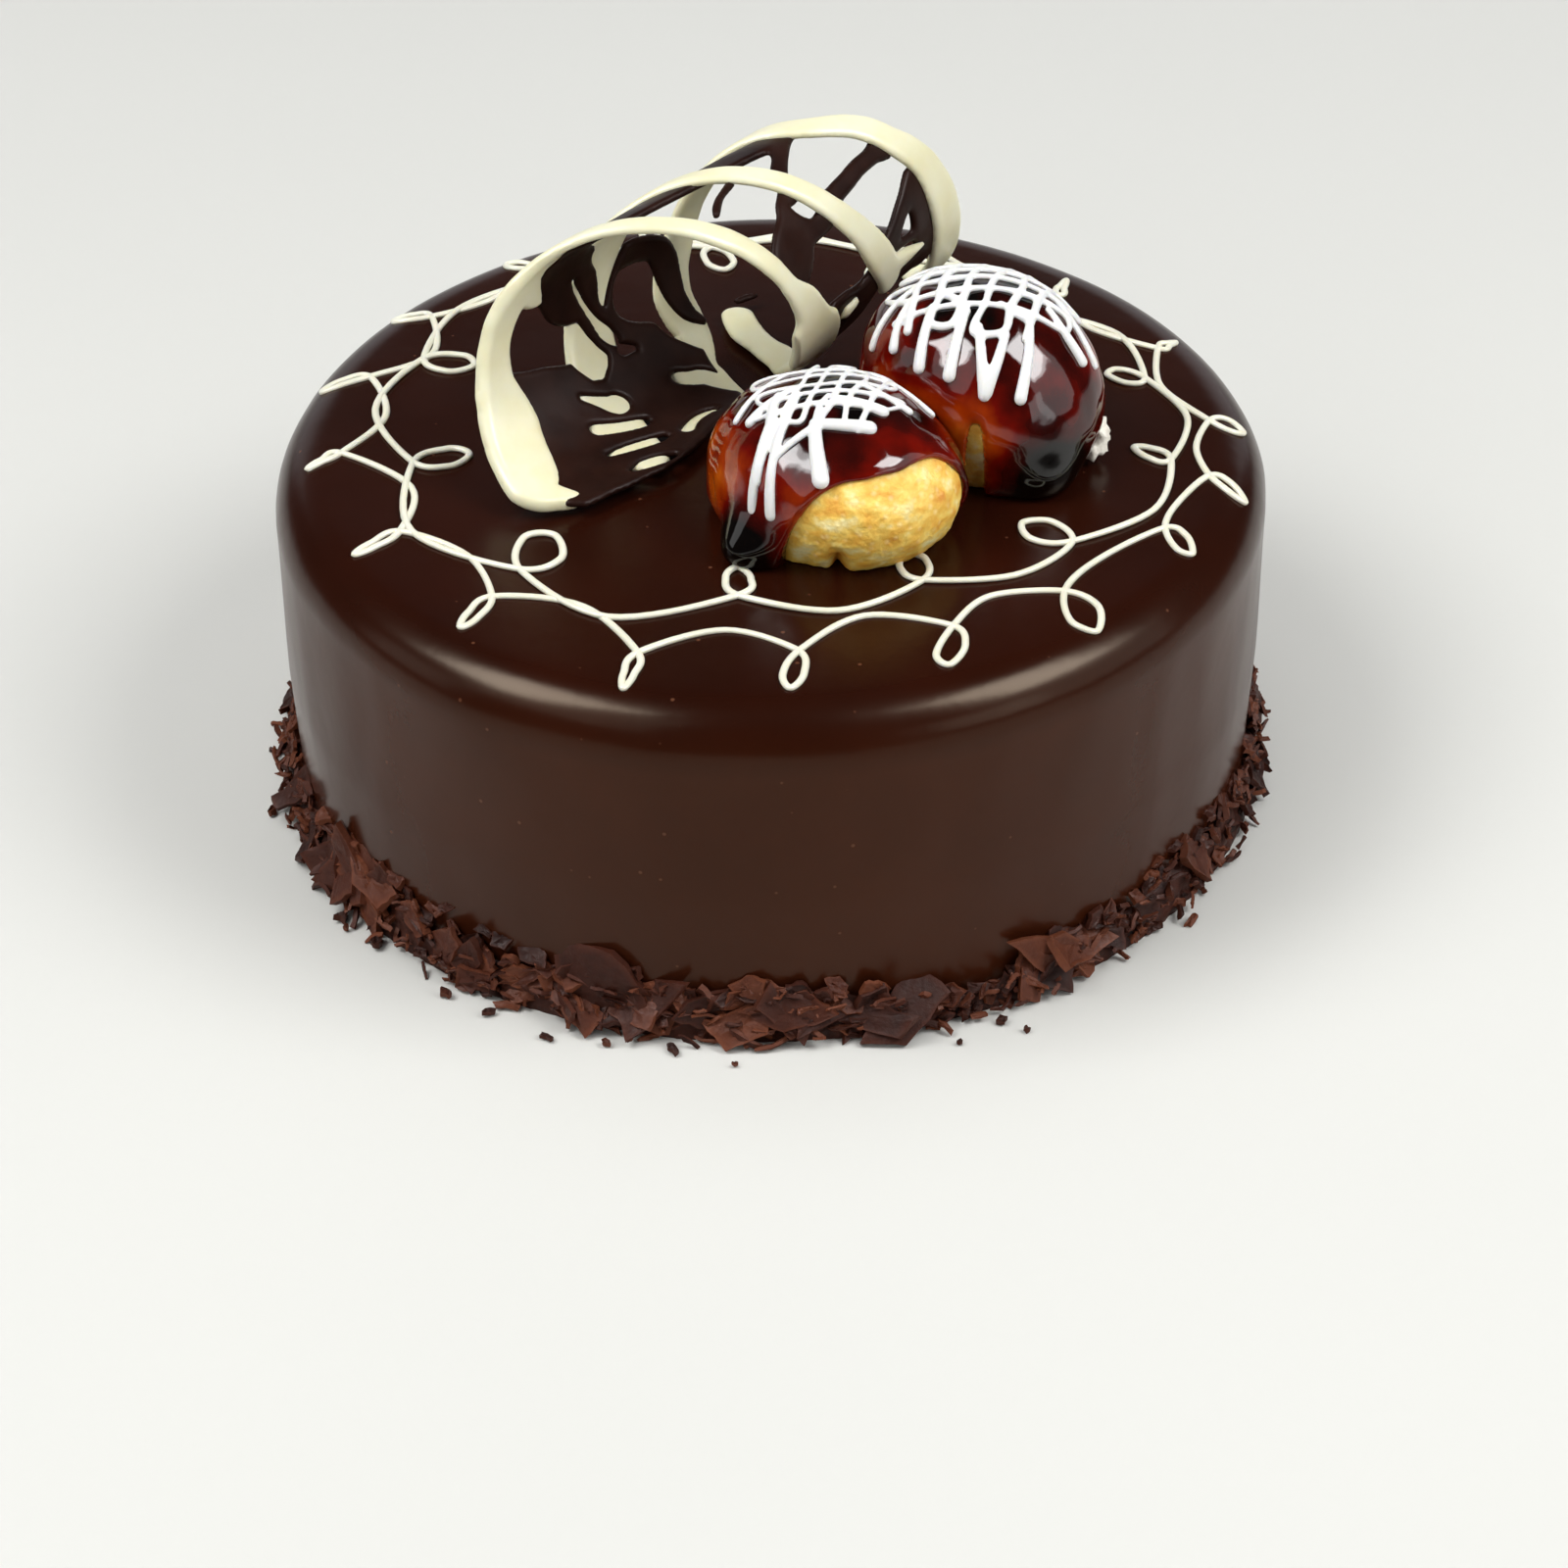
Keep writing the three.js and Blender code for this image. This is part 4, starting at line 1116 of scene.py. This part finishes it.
def floor_field(share, roll):
    """Depth inside the closed dark floor of the lattice."""
    near = np.interp(share, *zip(*FLOOR_NEAR_EDGE))
    far = np.interp(share, *zip(*FLOOR_FAR_EDGE))
    across = np.minimum(share - FLOOR_SHARES[0], FLOOR_SHARES[1] - share) * STRIP_WIDTH
    along = np.minimum(roll - near, far - roll) * math.radians(1) * ROLL_RADIUS * FLOOR_SLOPE
    return np.minimum(across, along)


def curl_layer(name, grid, field, layer, extra, material):
    """One layer of the strip where its field is above zero, with some extra depth inside the roll."""
    share, roll, points, normals, triangles = grid
    rim = (share < share.min() + SHARE_STEP) | (share > share.max() - SHARE_STEP)
    rim |= (roll < roll.min() + ROLL_STEP) | (roll > roll.max() - ROLL_STEP)
    field = np.where(rim, -1.0, field)
    edge = rounding(field, layer["border"])
    up = (layer["half"] + extra) * edge
    down = layer["half"] * edge
    points, faces, _ = clipped_shell(points, normals, triangles, field, layer["middle"], up, down)
    points[:, 2] = np.maximum(points[:, 2], CURL_FLOOR)
    add_piece(name, points, faces, material, ["lattice_curl"])


def lattice(white, dark):
    """White lines on the outside of the roll and dark strands in it, cut by the slits."""
    grid = curl_grid()
    share, roll = grid[:2]
    places = flattened(share, roll)
    flat = np.column_stack([places, 0 * share])
    wobble = grain(flat, WOBBLE_SIZE, octaves=2, basis="PERLIN_ORIGINAL")
    lines = [stroke(places, line) for line in WHITE_LINES]
    white_field = melted_union(lines, WHITE_LAYER["melt"]) + WHITE_LAYER["wobble"] * wobble
    strands = [stroke(places, line) for line in DARK_STRANDS] + [floor_field(share, roll)]
    dark_field = melted_union(strands, DARK_LAYER["melt"]) + DARK_LAYER["wobble"] * wobble
    for slit in FLOOR_SLITS:
        dark_field = np.minimum(dark_field, -stroke(places, slit))
    front = FRONT_EXTRA * fade(share, *FRONT_SHARES) * fade(roll, *FRONT_ROLLS)
    curl_layer("curl_white", grid, white_field, WHITE_LAYER, front, white)
    curl_layer("curl_dark", grid, dark_field, DARK_LAYER, 0, dark)


# Materials

def tint(red, green, blue):
    """Linear colour of an sRGB one given by bytes."""
    values = [channel / 255 for channel in (red, green, blue)]
    return [v / 12.92 if v <= 0.04045 else ((v + 0.055) / 1.055) ** 2.4 for v in values] + [1.0]


class Look:
    """A material, and the nodes that give its shader values."""

    def __init__(self, name):
        self.material = bpy.data.materials.new(name)
        self.material.use_nodes = True
        self.tree = self.material.node_tree

    def fill(self, node, values):
        """Puts plain values on a node's inputs, and links what other nodes give."""
        for label, value in values.items():
            if isinstance(value, bpy.types.NodeSocket):
                self.tree.links.new(value, node.inputs[label])
            else:
                node.inputs[label].default_value = value

    def node(self, kind, values):
        node = self.tree.nodes.new("ShaderNode" + kind)
        self.fill(node, values)
        return node

    def place(self, stretch=(1, 1, 1)):
        spot = self.node("TexCoord", {}).outputs["Object"]
        return self.node("Mapping", {"Scale": stretch, "Vector": spot}).outputs["Vector"]

    def noise(self, size, detail=3.0, stretch=(1, 1, 1)):
        """Noise with lumps of a size in millimetres."""
        values = {"Scale": 1 / (size * MM), "Detail": detail, "Vector": self.place(stretch)}
        return self.node("TexNoise", values).outputs["Fac"]

    def spots(self, size):
        """Distance to the nearest of many scattered points."""
        values = {"Scale": 1 / (size * MM), "Vector": self.place()}
        return self.node("TexVoronoi", values).outputs["Distance"]

    def attribute(self, label):
        node = self.node("Attribute", {})
        node.attribute_name = label
        return node.outputs["Fac"]

    def ramp(self, factor, stops):
        """Colour that changes with a factor, from stops of place and sRGB bytes."""
        node = self.node("ValToRGB", {"Fac": factor})
        elements = node.color_ramp.elements
        while len(elements) < len(stops):
            elements.new(0.5)
        for element, (place, colour) in zip(elements, stops):
            element.position = place
            element.color = tint(*colour)
        return node.outputs["Color"]

    def range(self, factor, source, target):
        ends = dict(zip(("From Min", "From Max", "To Min", "To Max"), (*source, *target)))
        return self.node("MapRange", {"Value": factor, **ends}).outputs["Result"]

    def mix(self, factor, first, second):
        """First colour at a factor of 0 and second at 1."""
        node = self.node("Mix", {"Factor": factor})
        node.data_type = "RGBA"
        colours = [i for i, socket in enumerate(node.inputs) if socket.type == "RGBA"]
        self.fill(node, dict(zip(colours, (first, second))))
        return next(socket for socket in node.outputs if socket.type == "RGBA")

    def sum(self, first, second, weight):
        """First plus the weighted second."""
        node = self.node("Math", {0: second, 1: weight, 2: first})
        node.operation = "MULTIPLY_ADD"
        return node.outputs[0]

    def bump(self, height, strength, distance):
        values = {"Strength": strength, "Distance": distance * MM, "Height": height}
        return self.node("Bump", values).outputs["Normal"]

    def finish(self, values):
        self.fill(self.tree.nodes["Principled BSDF"], values)
        return self.material


def glaze_material():
    look = Look("chocolate_glaze")
    cloud = look.noise(size=30, detail=4)
    # Same glaze on top and side: the side's lighter ramp is painted light and the top's darker ramp
    # painted shade
    thick = look.ramp(cloud, ((0.3, (33, 10, 4)), (0.7, (40, 13, 5))))
    drawn = look.ramp(cloud, ((0.3, (50, 20, 8)), (0.7, (57, 24, 10))))
    colour = look.mix(look.attribute("drawn"), thick, drawn)
    specks = look.range(look.spots(size=7), (0.035, 0.06), (1, 0))
    smear = look.noise(size=30, detail=1, stretch=(1, 1, 0.5))
    return look.finish({
        "Base Color": look.mix(specks, colour, tint(84, 50, 34)),
        "Roughness": look.range(smear, (0.2, 0.8), (0.195, 0.265)),
        "IOR": 1.46,
        "Specular IOR Level": 0.22,
        "Specular Tint": (1.0, 0.83, 0.63, 1),
        "Normal": look.bump(look.noise(size=3.5, detail=4), strength=0.06, distance=0.6),
    })


def flake_material():
    look = Look("chocolate_flakes")
    speckle = look.noise(size=2.5, detail=4)
    tone = look.sum(look.attribute("tone"), speckle, weight=0.5)
    stops = ((0.1, (36, 14, 8)), (0.55, (68, 31, 18)), (1.0, (102, 54, 33)))
    return look.finish({
        "Base Color": look.ramp(look.range(tone, (0.1, 1.4), (0, 1)), stops),
        "Roughness": look.range(look.noise(size=1.2), (0.3, 0.7), (0.45, 0.7)),
        "Specular IOR Level": 0.2,
        "Normal": look.bump(look.noise(size=0.7, detail=4), strength=0.5, distance=0.3),
    })


def white_material(name, bright, shade):
    look = Look(name)
    cloud = look.noise(size=9, detail=4)
    return look.finish({
        "Base Color": look.ramp(cloud, ((0.25, shade), (0.6, bright))),
        "Roughness": look.range(look.noise(size=2), (0.3, 0.7), (0.28, 0.42)),
        "Subsurface Weight": 0.25,
        "Subsurface Radius": (0.0022, 0.0016, 0.0008),
        "Normal": look.bump(look.noise(size=1.6), strength=0.08, distance=0.3),
    })


def dark_material():
    look = Look("dark_chocolate")
    cloud = look.noise(size=7, detail=4)
    smear = look.noise(size=5, detail=4)
    return look.finish({
        "Base Color": look.ramp(cloud, ((0.3, (28, 13, 9)), (0.75, (42, 22, 16)))),
        "Roughness": look.range(smear, (0.3, 0.7), (0.3, 0.48)),
        "Specular IOR Level": 0.09,
        "Normal": look.bump(look.noise(size=1.8), strength=0.08, distance=0.4),
    })


def choux_material():
    look = Look("baked_choux")
    mottle = look.noise(size=4.5, detail=7, stretch=(1, 1, 1.5))
    stops = (
        (0.30, (222, 150, 46)),
        (0.42, (237, 183, 70)),
        (0.55, (243, 205, 98)),
        (0.70, (247, 233, 170)),
    )
    # Pale flecks painted on the crust as small highlights
    painted_glints = look.range(look.spots(size=1.9), (0.08, 0.36), (0.25, 0))
    colour = look.mix(painted_glints, look.ramp(mottle, stops), tint(255, 246, 202))
    # The attribute browns the crust and paints shade into the tear; below zero it makes the torn lump
    # pale
    toast_and_shade = look.attribute("toast_and_shade")
    browned = look.sum(toast_and_shade, look.noise(size=2.2, detail=4), weight=0.7)
    browned = look.range(browned, (0.85, 1.4), (0, 0.85))
    colour = look.mix(browned, colour, tint(196, 116, 38))
    pale = look.range(toast_and_shade, (-0.5, -0.2), (1, 0))
    pits = look.noise(size=0.9, detail=4)
    height = look.sum(pits, look.noise(size=3.5), weight=0.8)
    return look.finish({
        "Base Color": look.mix(pale, colour, tint(250, 245, 232)),
        "Roughness": 0.62,
        "Normal": look.bump(height, strength=0.6, distance=0.5),
    })


def caramel_material():
    look = Look("set_caramel")
    depth = look.sum(look.attribute("depth"), look.noise(size=8), weight=0.9)
    stops = (
        (0.0, (186, 88, 12)),
        (0.25, (152, 50, 4)),
        (0.5, (100, 10, 2)),
        (0.72, (56, 5, 2)),
        (1.0, (6, 3, 2)),
    )
    smear = look.noise(size=4, detail=2)
    return look.finish({
        "Base Color": look.ramp(look.range(depth, (0.3, 1.5), (0, 1)), stops),
        "Roughness": look.range(smear, (0.3, 0.7), (0.05, 0.09)),
        "IOR": 1.5,
        "Specular IOR Level": 0.5,
        "Normal": look.bump(look.noise(size=5, detail=2), strength=0.08, distance=0.8),
    })


def floor_material():
    look = Look("pale_floor")
    cloud = look.noise(size=300, detail=2)
    stops = ((0.3, (207, 207, 202)), (0.7, (210, 210, 205)))
    return look.finish({"Base Color": look.ramp(cloud, stops), "Roughness": 0.7})


# Stage, lights and camera

def add_floor():
    near, far = -FLOOR_HALF, FLOOR_HALF
    mesh = bpy.data.meshes.new("floor")
    corners = [(near, near, 0), (far, near, 0), (far, far, 0), (near, far, 0)]
    mesh.from_pydata(corners, [], [(0, 1, 2, 3)])
    mesh.materials.append(floor_material())
    floor = bpy.data.objects.new("floor", mesh)
    show(floor)


def add_area(name, place, size, radiance, target=LIGHT_TARGET, colour=(1, 1, 1),
             mirrored=True, lights_up=True):
    """Soft box that faces a target. Radiance is in watts per square metre and steradian."""
    data = bpy.data.lights.new(name, "AREA")
    data.shape = "RECTANGLE"
    data.size, data.size_y = size
    data.energy = radiance * math.pi * size[0] * size[1]
    data.color = colour
    lamp = bpy.data.objects.new(name, data)
    aim = Vector(target) - Vector(place)
    lamp.rotation_euler = aim.to_track_quat("-Z", "Y").to_euler()
    lamp.location = place
    lamp.visible_glossy = mirrored
    lamp.visible_diffuse = lights_up
    show(lamp)


def add_boxes():
    """Soft boxes on both sides, in front and behind. The gleams show in the glaze and light nothing."""
    add_area("left_core", (-0.63, -0.15, 1.00), (0.55, 0.60), 7.6)
    add_area("right_core", (0.71, -0.22, 0.94), (0.55, 0.60), 7.6)
    add_area("left_gleam", (-0.62, -0.15, 0.99), (0.45, 0.50), 9.0, lights_up=False)
    add_area("right_gleam", (0.70, -0.22, 0.93), (0.45, 0.50), 9.0, lights_up=False)
    add_area("left_box", (-0.66, -0.52, 0.90), (0.75, 0.70), 1.3)
    add_area("right_box", (1.08, -0.35, 0.60), (0.95, 0.90), 1.3)
    add_area("left_low", (-1.10, -0.15, 0.40), (0.45, 0.40), 1.2)
    add_area("right_low", (0.83, -0.80, 0.36), (0.45, 0.40), 2.0)
    add_area("front_box", (-0.60, -1.15, 0.55), (0.9, 0.6), 1.7, target=(0, 0, 0.08), mirrored=False)
    add_area("back_wall", (0, 1.7, 0.42), (2.6, 0.75), 0.7, target=(0, 0, 0.3), colour=(0.94, 0.95, 1.0))
    add_area("back_box", (0, 0.65, 1.35), (1.6, 0.6), 1.0, target=(0, 0.75, 0), colour=(0.92, 0.94, 1.0),
             mirrored=False)


def add_fill():
    """Weak light from everywhere: a wide sun and a dim room."""
    sun = bpy.data.lights.new("fill_sun", "SUN")
    sun.energy = 0.45
    sun.angle = math.radians(40)
    lamp = bpy.data.objects.new("fill_sun", sun)
    lamp.rotation_euler = (math.radians(-8), math.radians(-6), 0)
    lamp.visible_glossy = False
    show(lamp)
    world = bpy.data.worlds.new("dim_room")
    world.use_nodes = True
    backdrop = world.node_tree.nodes["Background"]
    backdrop.inputs["Color"].default_value = (0.9, 0.92, 1.0, 1)
    backdrop.inputs["Strength"].default_value = 0.04
    bpy.context.scene.world = world


def add_camera():
    rise, roll = math.radians(CAMERA_RISE), math.radians(CAMERA_ROLL)
    back = np.array((0, -math.cos(rise), math.sin(rise)))
    right = np.array((1.0, 0, 0))
    up = np.array((0, math.sin(rise), math.cos(rise)))
    turned_right = math.cos(roll) * right + math.sin(roll) * up
    turned_up = math.cos(roll) * up - math.sin(roll) * right
    place = (np.array(CAMERA_TARGET) + CAMERA_DISTANCE * back) * MM
    data = bpy.data.cameras.new("camera")
    data.lens = LENS
    data.sensor_width = SENSOR
    camera = bpy.data.objects.new("camera", data)
    columns = np.column_stack([turned_right, turned_up, back, place])
    camera.matrix_world = Matrix([*columns.tolist(), (0, 0, 0, 1)])
    show(camera)
    bpy.context.scene.camera = camera


bpy.context.scene.view_settings.view_transform = "Standard"
add_camera()
add_floor()
add_boxes()
add_fill()

ivory = white_material("white_chocolate", (230, 227, 196), (224, 218, 176))
piped = white_material("piped_chocolate", (228, 226, 208), (218, 216, 195))
sugar = white_material("royal_icing", (231, 231, 229), (220, 221, 221))
flaky = flake_material()
glaze(glaze_material())
crumb_bed(flaky)
for flake_name in FLAKES:
    flakes(flake_name, flaky)
crumbs(flaky)
piping(piped)
baked = choux_material()
set_sugar = caramel_material()
for puff_name in PUFFS:
    choux(puff_name, baked)
    caramel(puff_name, set_sugar)
    icing(puff_name, sugar)
torn_lump(baked)
lattice(ivory, dark_material())
